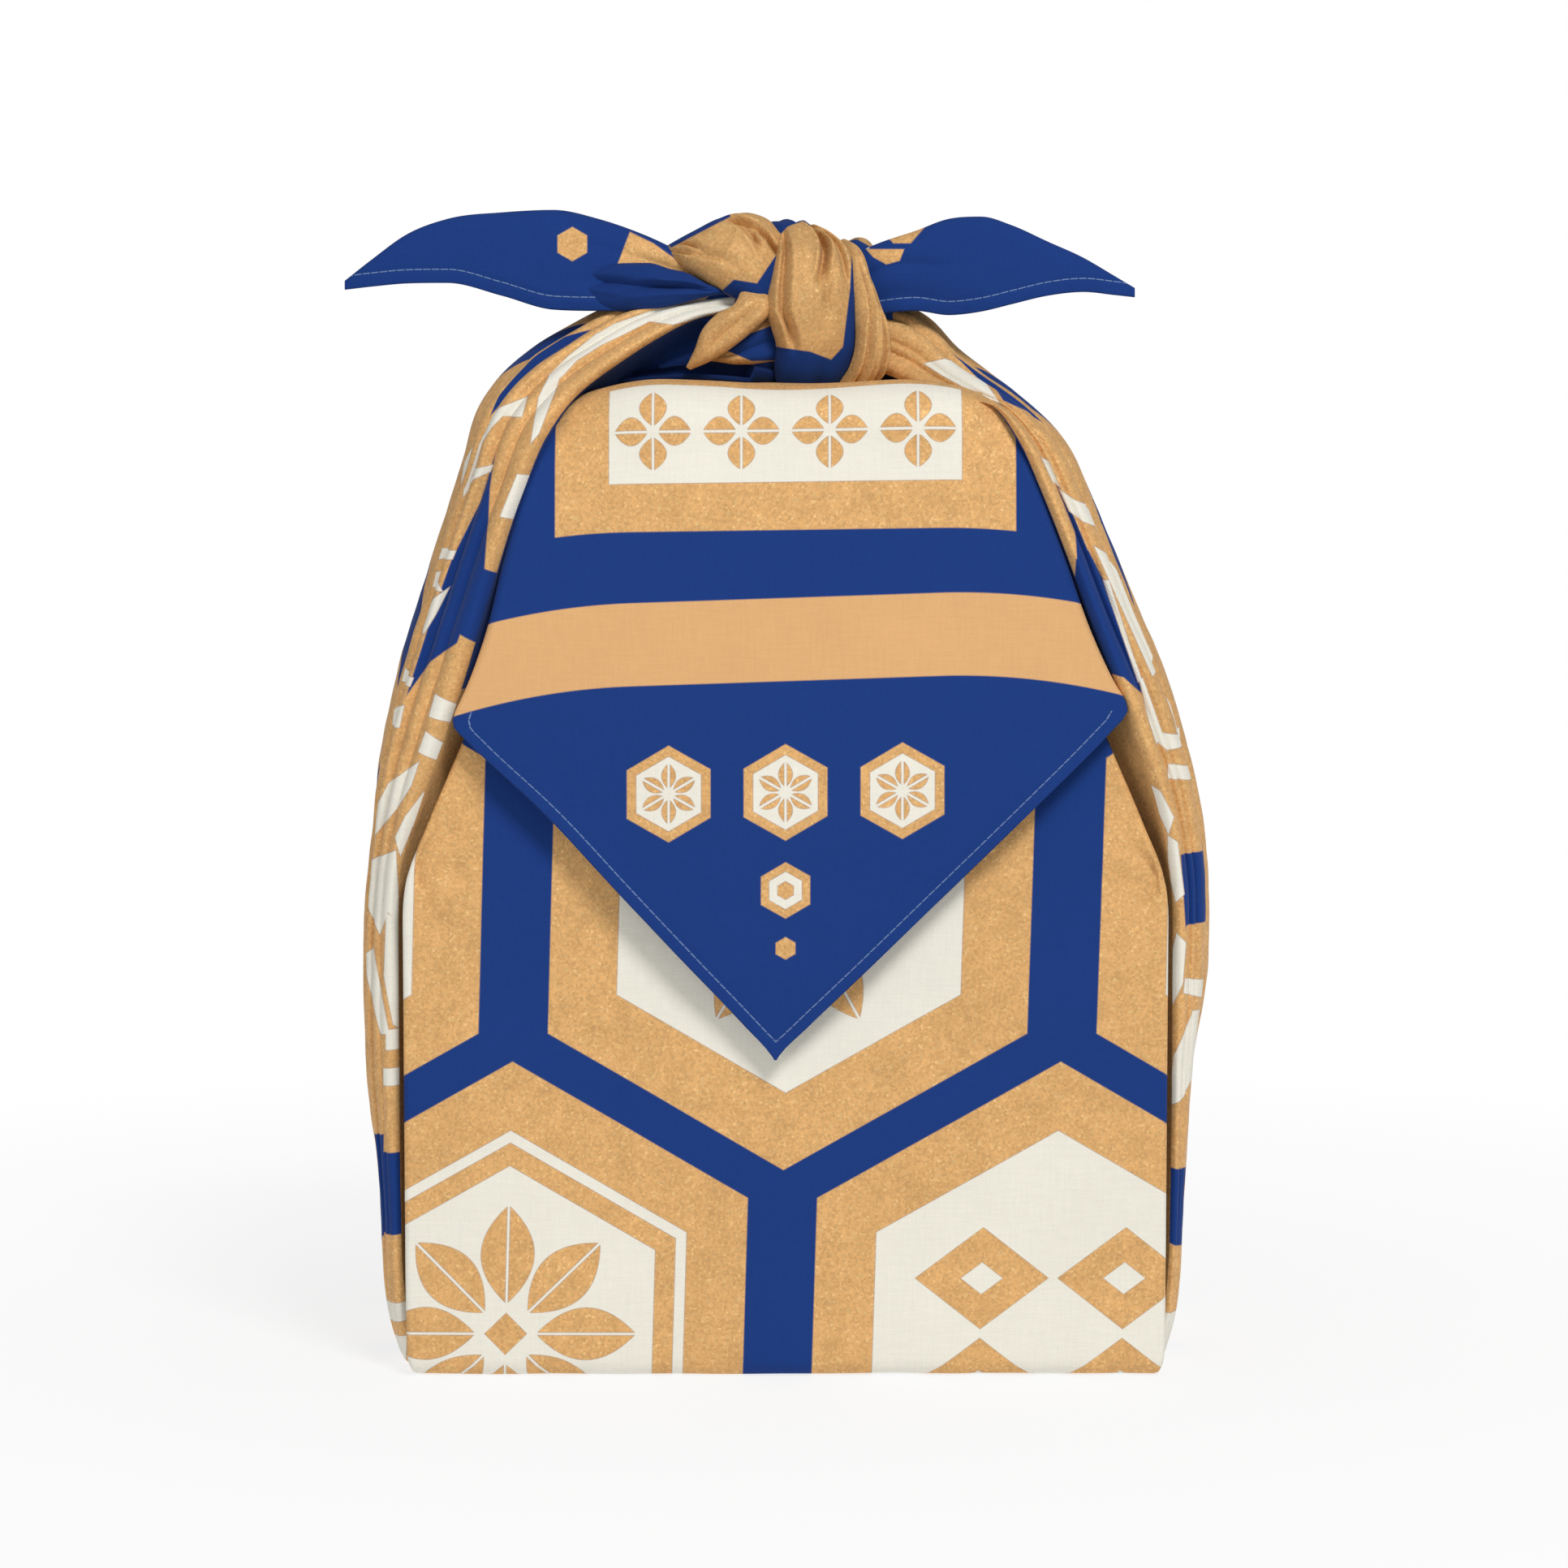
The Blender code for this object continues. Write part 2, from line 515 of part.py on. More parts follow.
furoshiki = core()
furoshiki.name = "furoshiki"
for piece in (
        gather("left side", LEFT_SIDE, LEFT_PLEATS, -1),
        gather("right side", RIGHT_SIDE, RIGHT_PLEATS, 1),
        flap(),
        ear("left ear", LEFT_EAR),
        ear("right ear", RIGHT_EAR),
        heart(),
        band("left root", LEFT_ROOT),
        band("left lobe", LEFT_LOBE),
        band("right root", RIGHT_ROOT),
        band("side strip", SIDE_STRIP),
        band("front loop", FRONT_LOOP),
        band("lower roll", LOWER_ROLL),
        band("leaf fold", LEAF_FOLD),
        band("back lobe", BACK_LOBE),
        band("back loop", BACK_LOOP)):
    combine(furoshiki, piece, "UNION")
combine(furoshiki, below_base(), "DIFFERENCE")
tidy(furoshiki)
furoshiki.data.materials.clear()
furoshiki.data.materials.append(cotton())
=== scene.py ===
"""A tied furoshiki: one square of printed cotton round an upright bundle, as it stands."""

import math
from collections import namedtuple

import bpy
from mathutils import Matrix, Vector, noise


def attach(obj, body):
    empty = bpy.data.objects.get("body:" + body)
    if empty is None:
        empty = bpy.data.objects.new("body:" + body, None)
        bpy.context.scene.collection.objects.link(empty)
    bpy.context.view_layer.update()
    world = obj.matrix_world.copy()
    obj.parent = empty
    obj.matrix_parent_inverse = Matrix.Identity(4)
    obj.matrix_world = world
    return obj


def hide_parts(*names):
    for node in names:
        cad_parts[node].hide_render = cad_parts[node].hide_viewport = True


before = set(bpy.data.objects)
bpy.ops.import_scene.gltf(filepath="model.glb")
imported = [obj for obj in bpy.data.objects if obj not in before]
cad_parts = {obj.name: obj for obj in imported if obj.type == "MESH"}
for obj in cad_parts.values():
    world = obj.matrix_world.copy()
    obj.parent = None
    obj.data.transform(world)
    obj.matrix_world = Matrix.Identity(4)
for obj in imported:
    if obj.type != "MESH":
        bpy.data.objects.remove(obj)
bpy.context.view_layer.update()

# The view: a little above the middle of the front, and far enough away that the sides
# stay nearly upright. Every size in this script is in millimetres.
MM = 0.001
VIEW_RISE = math.radians(6.0)
VIEW_DISTANCE = 1700.0
VIEW_AIM = Vector((-0.5, -57.5, 197.0))
VIEW_LENS = 119.536

bpy.ops.object.select_all(action="DESELECT")
towards_viewer = Vector((0.0, -math.cos(VIEW_RISE), math.sin(VIEW_RISE)))
bpy.ops.object.camera_add(
    location=(VIEW_AIM + towards_viewer * VIEW_DISTANCE) * MM,
    rotation=(math.radians(90.0) - VIEW_RISE, 0.0, 0.0))
camera = bpy.context.object
camera.data.lens = VIEW_LENS
camera.data.sensor_width = 36.0
bpy.context.scene.camera = camera
bpy.context.scene.view_settings.view_transform = "Standard"

# The long cloth: the front corner, the base, the back and the back corner of the square
# in one run. It is printed cotton folded under along its sides, and its pointed end
# comes over the top and hangs free over the front with a narrow stitched hem.
CLOTH_SPACING = 2.6       # from one point of the cloth to the next along a run
LongRow = namedtuple("LongRow", "y z left right fold")


def table(kind, rows):
    """Rows of a table, with its columns named."""
    return [kind(*row) for row in rows]


LONG_CLOTH = table(LongRow, (
    (-49, 304, -75, 75, 1.5), (-51, 292, -78, 78, 1.5), (-54.3, 256, -89, 89, 1.5),
    (-56, 217, -103, 103, 1.6), (-57.3, 184, -117, 117, 1.7), (-57.9, 166, -124, 124, 1.8),
    (-58, 150, -125.5, 125.5, 1.8), (-58.2, 100, -125.5, 125.5, 1.8),
    (-58, 40, -125.5, 125.5, 1.8), (-58.2, 12, -125.2, 125.4, 1.8),
    (-57.8, 3.8, -124.6, 124.8, 1.7), (-56, 1, -123.6, 123.8, 1.4), (-52, 0.3, -122.5, 122.5, 1),
    (0, 0.3, -122.5, 122.5, 1), (52, 0.3, -122.5, 122.5, 1), (56, 1, -123.6, 123.8, 1.4),
    (57.8, 3.8, -124.8, 124.8, 1.7), (58.2, 12, -125.4, 125.4, 1.8), (58, 40, -125.5, 125.5, 1.8),
    (58.2, 100, -125.5, 125.5, 1.8), (58, 150, -125.5, 125.5, 1.8), (57.9, 166, -124, 124, 1.8),
    (57.3, 184, -117, 117, 1.7), (56, 217, -103, 103, 1.6), (54.3, 256, -89, 89, 1.5),
    (52.6, 290, -78, 78, 1.5), (51, 304, -74.5, 74.5, 1.5), (48.4, 315, -73.5, 73.5, 1.5),
    (42.9, 322, -73, 73, 1.5), (34, 325.2, -72, 72, 1.5), (15, 326.4, -71.5, 71.5, 1.5),
    (-15, 326.8, -72, 72, 1.5), (-35.6, 325.6, -73.5, 73, 1.6), (-45.4, 322.2, -74.5, 74, 1.8),
    (-50, 316, -76, 75.2, 2), (-51.8, 307, -79.5, 78, 2.2), (-53.8, 294, -85, 83, 2.6),
    (-57, 270, -92, 91.5, 2.8), (-60, 245, -98.2, 100.5, 2.6), (-62.2, 230, -103.6, 107.6, 2),
    (-63, 224.5, -106, 110.8, 1.5), (-63.3, 221.5, -107.4, 111.4, 1.2),
    (-63.5, 218.5, -108.3, 109.6, 1), (-63.6, 216, -107.8, 107.2, 0.8),
    (-64, 212, -104, 103.4, 0.8), (-66, 190, -80.4, 81.2, 0.8), (-67.2, 165, -57, 55.6, 0.8),
    (-67.4, 140, -33.7, 29.9, 0.8), (-66.6, 118, -13.1, 7.3, 0.7), (-66, 108.6, -4.6, -2, 0.5),
    (-65.9, 107.2, -3.7, -2.9, 0.2),
))
LONG_ACROSS = 84          # points across the flat of the long cloth
TURN_STEPS = 5            # points round a folded edge
UNDER_WIDTH = 6.0         # how far the cloth runs back behind a folded edge
HEM_WIDTH = 4.4           # the same behind a hem
FREE_HEIGHT = 221.5       # the flap is free and hemmed below this height
FRONT_BASE_ROW = 12       # row of the table at the front edge of the base
BUNDLE_MIDDLE = Vector((0.0, 0.0, 160.0))


def drawn_out(rows, spacing, places=2):
    """Rows of a table with smoothly placed rows between them, about a spacing apart.

    The first columns of the table are the places that the spacing is measured on.
    """
    kind = type(rows[0])
    gaps = [max(math.dist(a[:places], b[:places]), MM) for a, b in zip(rows, rows[1:])]
    slopes = []
    for column in range(len(rows[0])):
        rise = [(b[column] - a[column]) / gap for a, b, gap in zip(rows, rows[1:], gaps)]
        bend = [rise[0]]
        for low, high, gap, next_gap in zip(rise, rise[1:], gaps, gaps[1:]):
            middle = (low * next_gap + high * gap) / (gap + next_gap)
            limit = 3.0 * min(abs(low), abs(high))
            bend.append(0.0 if low * high <= 0.0 else max(-limit, min(limit, middle)))
        slopes.append(bend + [rise[-1]])
    dense = []
    for i, gap in enumerate(gaps):
        steps = max(1, round(gap / spacing))
        for k in range(steps):
            t = k / steps
            values = []
            for column, bend in enumerate(slopes):
                start = rows[i][column]
                end = rows[i + 1][column]
                values.append(
                    start * (1 + 2 * t) * (1 - t) ** 2 + bend[i] * gap * t * (1 - t) ** 2
                    + end * t * t * (3 - 2 * t) + bend[i + 1] * gap * t * t * (t - 1))
            dense.append(kind(*values))
    dense.append(rows[-1])
    return dense


def lengths(points):
    """How far along a run of points each of them lies."""
    run = [0.0]
    for a, b in zip(points, points[1:]):
        run.append(run[-1] + math.dist(a, b))
    return run


def lay_cloth(name, grid, middle, **maps):
    """One layer of cloth over a grid of points, its printed side facing away from a point.

    The map cloth gives where a corner of a cell lies on the flat cloth, and hem how far
    along a hem and in from its edge it lies. Each becomes a UV map.
    """
    across = len(grid[0])
    cells = [((r, c), (r, c + 1), (r + 1, c + 1), (r + 1, c))
             for r in range(len(grid) - 1) for c in range(across - 1)]
    mesh = bpy.data.meshes.new(name)
    mesh.from_pydata([p * MM for row in grid for p in row], [],
                     [[i * across + j for i, j in cell] for cell in cells])
    for map_name, place in maps.items():
        spots = [n * MM for cell in cells for i, j in cell for n in place(i, j, cell[0][1])]
        mesh.uv_layers.new(name=map_name).data.foreach_set("uv", spots)
    facing = sum((f.center - middle * MM).dot(f.normal) * f.area for f in mesh.polygons)
    if facing < 0.0:
        mesh.flip_normals()
    mesh.shade_smooth()
    piece = bpy.data.objects.new(name, mesh)
    bpy.context.scene.collection.objects.link(piece)
    return piece


def declare_cloth(piece, material):
    """Give a sheet its print and its body, and hide the furoshiki part of the model."""
    piece.data.materials.append(material)
    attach(piece, "root")
    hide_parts("furoshiki")


def slack(point, size, seed=0.0):
    """Soft unevenness of hand-laid cloth at a place, from -1 to 1, with waves of one size."""
    return noise.noise(point / size + Vector((seed, 1.7 * seed, 0.3 * seed)))


def soft_step(value):
    """Smooth rise from 0 to 1 as the value goes from 0 to 1."""
    t = max(0.0, min(1.0, value))
    return t * t * (3.0 - 2.0 * t)


# Tuck points, where the gathers draw the front and back panels in, and their puckers.
TUCKS = (Vector((-122.0, 172.0)), Vector((123.0, 166.0)))
TUCK_REACH = 20.0
TUCK_DEPTH = 1.3
TUCK_RAYS = 7.0
PANEL_SLACK = 0.75
TOP_FROM = 300.0          # height from which cloth counts as lying on the top
TOP_OVER = 20.0
TOP_SWELL = 3.0           # how far the cloth stands up along the front edge of the top
SWELL_FROM = -20.0        # place from which it does so, going forward
SWELL_OVER = 18.0
KNOT_PRESS = 2.2          # how far the knot presses it down in the middle
KNOT_REACH = 25.0
CORNER_SAG = 9.0          # and how far it sags towards its side edges
SAG_FROM = 35.0
SAG_OVER = 40.0
FLAP_WAVE = 1.5
HEM_RAISE = 0.55


def top_relief(place):
    """How far the cloth over the top stands up at a place, with its corners sagging."""
    swell = TOP_SWELL - KNOT_PRESS * math.exp(-(place.x / KNOT_REACH) ** 2)
    swell *= soft_step((SWELL_FROM - place.y) / SWELL_OVER)
    sag = CORNER_SAG * (max(abs(place.x) - SAG_FROM, 0.0) / SAG_OVER) ** 2.2
    return (swell - sag) * soft_step((place.z - TOP_FROM) / TOP_OVER)


def panel_relief(place, _):
    """How far the front or back panel stands out at a place, with puckers at the tucks."""
    relief = PANEL_SLACK * slack(place, 60.0) + 0.3 * slack(place, 22.0, 4.0)
    relief += top_relief(place)
    for tuck in TUCKS:
        away = Vector((place.x, place.z)) - tuck
        angle = math.atan2(away.y, away.x)
        near = math.exp(-(away.length / TUCK_REACH) ** 2)
        relief += TUCK_DEPTH * near * math.sin(TUCK_RAYS * angle + 0.7)
    return relief


def flap_relief(place, row):
    """The same for the flap, which waves more where it is free and is thicker at its hem."""
    free = soft_step((FREE_HEIGHT + 30.0 - place.z) / 80.0)
    wave = slack(Vector((place.x, 0.0, place.z)), 55.0, 9.0)
    ripple = slack(Vector((place.x, 0.0, place.z)), 19.0, 2.0)
    relief = (0.4 + FLAP_WAVE * free) * wave + 0.35 * ripple + top_relief(place)
    if place.z < FREE_HEIGHT:
        to_edge = min(place.x - row.left, row.right - place.x) * math.sqrt(0.5)
        relief += HEM_RAISE * (1.0 - soft_step((to_edge - HEM_WIDTH + 0.8) / 1.2))
    return relief


def extended(run, more, end):
    """A run of points with more before its start (end 0) or after its end (end -1)."""
    return more[::-1] + run if end == 0 else run + more


def folded_row(row, run, relief):
    """Points across a run of cloth whose side edges are folded in, and their flat places."""
    inside = Vector((0.0, -run.z, run.y))
    centre = (row.left + row.right) / 2.0
    reach = (row.right - row.left) / 2.0
    fold = min(row.fold, 0.45 * reach)
    under = min(UNDER_WIDTH, 0.6 * reach)
    points = []
    flat = []
    for k in range(LONG_ACROSS + 1):
        share = math.sin(math.pi * (k / LONG_ACROSS - 0.5))
        points.append(Vector((centre + share * (reach - fold), row.y, row.z)))
        flat.append(points[-1].x)
    points = [p - inside * relief(p, row) for p in points]
    for side, end in ((-1, 0), (1, -1)):
        turned = []
        for k in range(1, TURN_STEPS + 1):
            angle = math.pi * k / TURN_STEPS
            out = Vector((side * fold * math.sin(angle), 0.0, 0.0))
            turned.append((points[end] + out + inside * fold * (1.0 - math.cos(angle)),
                           flat[end] + side * fold * angle))
        last, last_flat = turned[-1]
        turned.append((last - Vector((side * under, 0.0, 0.0)), last_flat + side * under))
        points = extended(points, [p for p, _ in turned], end)
        flat = extended(flat, [u for _, u in turned], end)
    return points, flat


long_rows = drawn_out(LONG_CLOTH, CLOTH_SPACING)
long_grid = []
long_flat = []
travelled = 0.0
base_start = 0.0
for i, row in enumerate(long_rows):
    before = long_rows[max(i - 1, 0)]
    after = long_rows[min(i + 1, len(long_rows) - 1)]
    run = Vector((0.0, after.y - before.y, after.z - before.z)).normalized()
    is_flap = i > len(long_rows) * 0.5 and row.y < 20.0
    relief = flap_relief if is_flap else panel_relief
    points, flat = folded_row(row, run, relief)
    long_grid.append(points)
    if i:
        travelled += math.dist(row[:2], long_rows[i - 1][:2])
    if row[:2] == LONG_CLOTH[FRONT_BASE_ROW][:2]:
        base_start = travelled
    long_flat.append((flat, travelled))
tip_place = base_start - travelled


def long_place(row, column, _):
    """Flat place: across from the middle, and along from the front edge of the base."""
    flat, along = long_flat[row]
    return flat[column], base_start - along


def flap_hem(row, column, _):
    """Along the flap's two hems, and in from them. Far in where the cloth has no hem."""
    edge = long_rows[row]
    flat, along = long_flat[row]
    if row < len(long_rows) // 2 or edge.z > FREE_HEIGHT:
        return along, FREE_HEIGHT
    inward = min(flat[column] - edge.left, edge.right - flat[column]) * math.sqrt(0.5)
    return along * math.sqrt(2.0), inward


long_cloth = lay_cloth(
    "long_cloth", long_grid, BUNDLE_MIDDLE, cloth=long_place, hem=flap_hem)

# Print and cotton. The square is woven in plain weave, printed navy with a lattice of
# hexagons in glitter gold on a white ground, and its corners with bands in place of them.
NAVY = (24, 56, 122)
GOLD = (215, 167, 108)
PEACH = (217, 169, 116)
WHITE = (230, 226, 213)
# The paler gold of a few glitter flakes is a painted glint.
FLAKE_GLINT = (234, 198, 138)
LATTICE_WIDTH = 180.0     # from one hexagon's middle to the next in a row
LATTICE_RISE = 291.0      # from one row to the next but one
HEXAGON_START = (1.6, 163.8)
GOLD_REACH = 78.6         # from a hexagon's middle to the side of its gold border
WHITE_REACH = 56.4        # and to the side of its white ground
SECOND_REACH = 58.8       # the same for the rows between
LATTICE_LEAN = 0.030      # how far the front panel's rows lean to the right going up
LEAN_MIDDLE = 150.0
PRINT_SOFTNESS = 0.45     # how far a printed edge bleeds
THREAD = 0.55             # from one thread of the weave to the next
SPECK = 0.8               # size of the flakes in the glitter gold
GLITTER_GRAIN = 130.0     # grains to a metre of its thicker and thinner patches,
DYE_GRAIN = 22.0          # of the dye's clouds,
SLUB_GRAIN = 260.0        # of the slubs, which are drawn out along their thread,
SLUB_THIN = 4.0
SLUB_LONG = 0.35
CREASE_GRAIN = 70.0       # and of the small creases
STITCH = 2.9              # from one stitch of a hem to the next
STITCH_WIDTH = 0.36
STITCH_SHARE = 0.43       # half of a stitch, as a share of that
STITCH_PLACE = 3.8        # how far in from the edge
STITCH_COLOUR = (108, 130, 170)


def dye(colour):
    """Linear colour of a dye given as it shows on a screen, from 0 to 255."""
    return tuple((c / 255.0 / 12.92 if c <= 10 else ((c / 255.0 + 0.055) / 1.055) ** 2.4)
                 for c in colour) + (1.0,)


def feed(tree, node, inputs):
    """Give values, or other nodes' outputs, to the inputs of a node."""
    for entry, value in inputs.items():
        value = value.socket if isinstance(value, Tone) else value
        if isinstance(value, bpy.types.NodeSocket):
            tree.links.new(value, node.inputs[entry])
        else:
            node.inputs[entry].default_value = value


def add_node(tree, kind, inputs, output=0, **settings):
    """A new node of a material, fed and set, as one of its outputs."""
    node = tree.nodes.new("ShaderNode" + kind)
    for name, value in settings.items():
        setattr(node, name, value)
    feed(tree, node, inputs)
    return node.outputs[output]


class Tone:
    """A value that varies over the cloth, worked out by a material's nodes."""

    def __init__(self, tree, socket):
        self.tree = tree
        self.socket = socket

    def work(self, operation, *others, clamp=False):
        inputs = dict(enumerate((self,) + others))
        return Tone(self.tree, add_node(
            self.tree, "Math", inputs, operation=operation, use_clamp=clamp))

    def __add__(self, other):
        return self.work("ADD", other)

    def __sub__(self, other):
        return self.work("SUBTRACT", other)

    def __mul__(self, other):
        return self.work("MULTIPLY", other)

    def __abs__(self):
        return self.work("ABSOLUTE")

    def least(self, other):
        return self.work("MINIMUM", other)

    def most(self, other):
        return self.work("MAXIMUM", other)

    def inverse(self):
        return self.work("MULTIPLY_ADD", -1.0, 1.0)

    def wrapped(self, width):
        """The distance from the nearest multiple of a width."""
        return self.work("WRAP", width / 2.0, -width / 2.0)

    def below(self, limit, soft=PRINT_SOFTNESS):
        """1 where the value is under a limit and 0 past it, with a printed edge."""
        return self.work("MULTIPLY_ADD", -1.0 / soft, limit / soft + 0.5, clamp=True)

    def above(self, limit, soft=PRINT_SOFTNESS):
        return self.work("MULTIPLY_ADD", 1.0 / soft, 0.5 - limit / soft, clamp=True)

    def between(self, low, high):
        return self.above(low) * self.below(high)


def hexagon_reach(x, y):
    """Distance from the middle of an upright hexagon, measured square to its sides."""
    return (abs(x) * 0.5 + abs(y) * 0.866).most(abs(x))


VEIN = 0.5


def petals(x, y, count, start, length, width):
    """A ring of pointed leaves round a middle, each with a vein."""
    angle = y.work("ARCTAN2", x).wrapped(2.0 * math.pi / count)
    away = (x * x + y * y).work("SQRT")
    along = away * angle.work("COSINE") - (start + length / 2.0)
    beside = abs(away * angle.work("SINE"))
    edge = (along * along) * (-4.0 * width / length ** 2) + width
    return (edge - beside).above(0.0) * beside.above(VEIN)


def lozenge(x, y, half_width, half_height):
    """A lozenge round a middle."""
    reach = abs(x) * (1.0 / half_width) + abs(y) * (1.0 / half_height)
    return reach.below(1.0, PRINT_SOFTNESS / half_height)


def patched(u, v, shapes):
    """Where any of some straight-sided patches of the print lies, each without hollows.

    A patch is a run of corners, u and v in turn.
    """
    spot = add_node(u.tree, "CombineXYZ", {0: u, 1: v, 2: 1.0})
    nearest = None
    for shape in shapes:
        corners = list(zip(shape[::2], shape[1::2]))
        sides = list(zip(corners, corners[1:] + corners[:1]))
        area = sum(a[0] * b[1] - b[0] * a[1] for a, b in sides)
        reach = None
        for a, b in sides:
            length = math.copysign(math.dist(a, b), area)
            out_u = (b[1] - a[1]) / length
            out_v = (a[0] - b[0]) / length
            plane = (out_u, out_v, -a[0] * out_u - a[1] * out_v)
            side = Tone(u.tree, add_node(
                u.tree, "VectorMath", {0: spot, 1: plane}, "Value", operation="DOT_PRODUCT"))
            reach = side if reach is None else reach.most(side)
        nearest = reach if nearest is None else nearest.least(reach)
    # The limit lets patches that share an edge run into each other.
    return nearest.below(PRINT_SOFTNESS / 2.0)


# Motifs of the hexagons: leaves as their count, start, length and width, and the others
# as half their width and height, from the middle of a hexagon.
ROSETTE = (6, 9.0, 38.0, 8.5)
ROSETTE_EYE = 6.0
SUNBURST = (8, 10.0, 33.0, 8.8)
SUNBURST_EYE = (7.0, 7.0)
RING_INSIDE = 48.6
RING_OUTSIDE = 55.2
DIAMOND_PLACE = (23.5, 18.5)
DIAMOND = (22.0, 17.0)
DIAMOND_HOLE = (7.0, 5.4)


def hexagon_lattice(u, v):
    """Gold and white of the all-over pattern, with a plain motif in each hexagon."""
    start_u, start_v = HEXAGON_START
    first_x = (u - start_u).wrapped(LATTICE_WIDTH)
    first_y = (v - start_v).wrapped(LATTICE_RISE)
    second_x = (u - (start_u + LATTICE_WIDTH / 2.0)).wrapped(LATTICE_WIDTH)
    second_y = (v - (start_v - LATTICE_RISE / 2.0)).wrapped(LATTICE_RISE)
    first = hexagon_reach(first_x, first_y)
    second = hexagon_reach(second_x, second_y)
    hexagon = first.least(second).below(GOLD_REACH)
    white = first.below(WHITE_REACH).most(second.below(SECOND_REACH))
    # Every other row holds leaf rosettes, and those between hold lozenges and rings.
    eye = (first_x * first_x + first_y * first_y).below(ROSETTE_EYE ** 2, ROSETTE_EYE)
    rosette = petals(first_x, first_y, *ROSETTE).most(eye)
    alternate = (u - start_u).wrapped(2.0 * LATTICE_WIDTH).above(0.0)
    ring = second.below(RING_OUTSIDE) * second.above(RING_INSIDE)
    leaves = petals(second_x, second_y, *SUNBURST).most(ring)
    leaves = leaves.most(lozenge(second_x, second_y, *SUNBURST_EYE))
    quarter_x = abs(second_x) - DIAMOND_PLACE[0]
    quarter_y = abs(second_y) - DIAMOND_PLACE[1]
    diamonds = lozenge(quarter_x, quarter_y, *DIAMOND)
    diamonds = diamonds * lozenge(quarter_x, quarter_y, *DIAMOND_HOLE).inverse()
    motif = leaves * alternate.inverse() + diamonds * alternate
    is_first = (second - first).above(0.0)
    drawn = rosette * is_first + motif * is_first.inverse()
    shown = white * drawn.inverse()
    return hexagon * shown.inverse(), shown


FLAP_TILT = 0.014         # the print climbs a little to the right, the band more so
BAND_TILT = 0.020
FLAP_DROOP = 5.4          # and drops where the flap's folded sides draw it down
FLAP_DROOP_FROM = 50.0
FLAP_DROOP_REACH = 48.0
BAND = (124.2, 151.2)     # the peach band, from the tip
PLATE = (173.4, 330.0)    # the gold rectangle, its half width and its white ground
PLATE_HALF = 75.0
GROUND = (189.0, 222.5)
GROUND_HALF = 57.5
CORNER_HIGH = 345.0       # past this the corner's print ends and the lattice begins
SPRIG_STEP = 28.75
SPRIG = (4, 1.6, 11.0, 4.4)
MEDALLION_PLACE = 88.0    # three small hexagons with a white ground and a flower each
MEDALLION_STEP = 38.0
MEDALLION_REACH = 13.6
MEDALLION_GROUND = 10.6
FLOWER = (6, 1.6, 8.4, 2.3)
SMALL_PLACE = 56.0        # a smaller one with a ring, and a dot
SMALL_REACH = 8.0
SMALL_RING = (2.6, 5.4)
DOT_PLACE = 37.0
DOT_REACH = 3.2


def flap_print(u, p):
    """Gold, white and peach of the pointed corner, by the distance from its tip."""
    droop = (abs(u) - FLAP_DROOP_FROM).most(0.0) * (1.0 / FLAP_DROOP_REACH)
    p = p - u * FLAP_TILT + droop * droop * FLAP_DROOP
    band = (p - u * BAND_TILT).between(*BAND)
    plate = p.between(*PLATE) * abs(u).below(PLATE_HALF)
    sprig_x = (u - SPRIG_STEP / 2.0).wrapped(SPRIG_STEP)
    sprigs = petals(p - sum(GROUND) / 2.0, sprig_x, *SPRIG)
    ground = p.between(*GROUND) * abs(u).below(GROUND_HALF) * sprigs.inverse()
    row_x = abs(u).least(abs(abs(u) - MEDALLION_STEP))
    row_y = p - MEDALLION_PLACE
    medallion = hexagon_reach(row_x, row_y)
    small = hexagon_reach(u, p - SMALL_PLACE)
    dot = hexagon_reach(u, p - DOT_PLACE).below(DOT_REACH)
    white = medallion.below(MEDALLION_GROUND) * petals(row_y, row_x, *FLOWER).inverse()
    white = white.most(small.between(*SMALL_RING))
    gold = (plate * ground.inverse()).most(medallion.below(MEDALLION_REACH))
    gold = gold.most(small.below(SMALL_REACH)).most(dot) * white.inverse()
    return gold, ground.most(white), band


def long_print(u, v):
    """The lattice, and the corner's own print near the tip."""
    p = v - tip_place
    corner = p.below(CORNER_HIGH)
    gold, white = hexagon_lattice(u - (v.most(0.0) - LEAN_MIDDLE) * LATTICE_LEAN, v)
    flap_gold, flap_white, band = flap_print(u, p)
    elsewhere = corner.inverse()
    return (gold * elsewhere + flap_gold * corner,
            white * elsewhere + flap_white * corner, band * corner)


def layer(tree, under, over, mask):
    """One ink over another where a mask says so."""
    return add_node(tree, "Mix", {0: mask, 6: under, 7: over}, 2, data_type="RGBA")


def grain(tree, place, scale, detail, stretch=(1.0, 1.0, 1.0)):
    """Noise over the cloth, from 0 to 1, with so many grains to a metre."""
    mapping = add_node(tree, "Mapping", {"Scale": stretch, "Vector": place})
    return Tone(tree, add_node(
        tree, "TexNoise", {"Scale": scale, "Detail": detail, "Vector": mapping}, "Fac"))


def mapped(tree, name):
    """The two coordinates of a UV map, in millimetres, and its socket."""
    cloth_map = add_node(tree, "UVMap", {}, uv_map=name)
    parts = add_node(tree, "SeparateXYZ", {0: cloth_map}).node.outputs
    return Tone(tree, parts[0]) * (1.0 / MM), Tone(tree, parts[1]) * (1.0 / MM), cloth_map


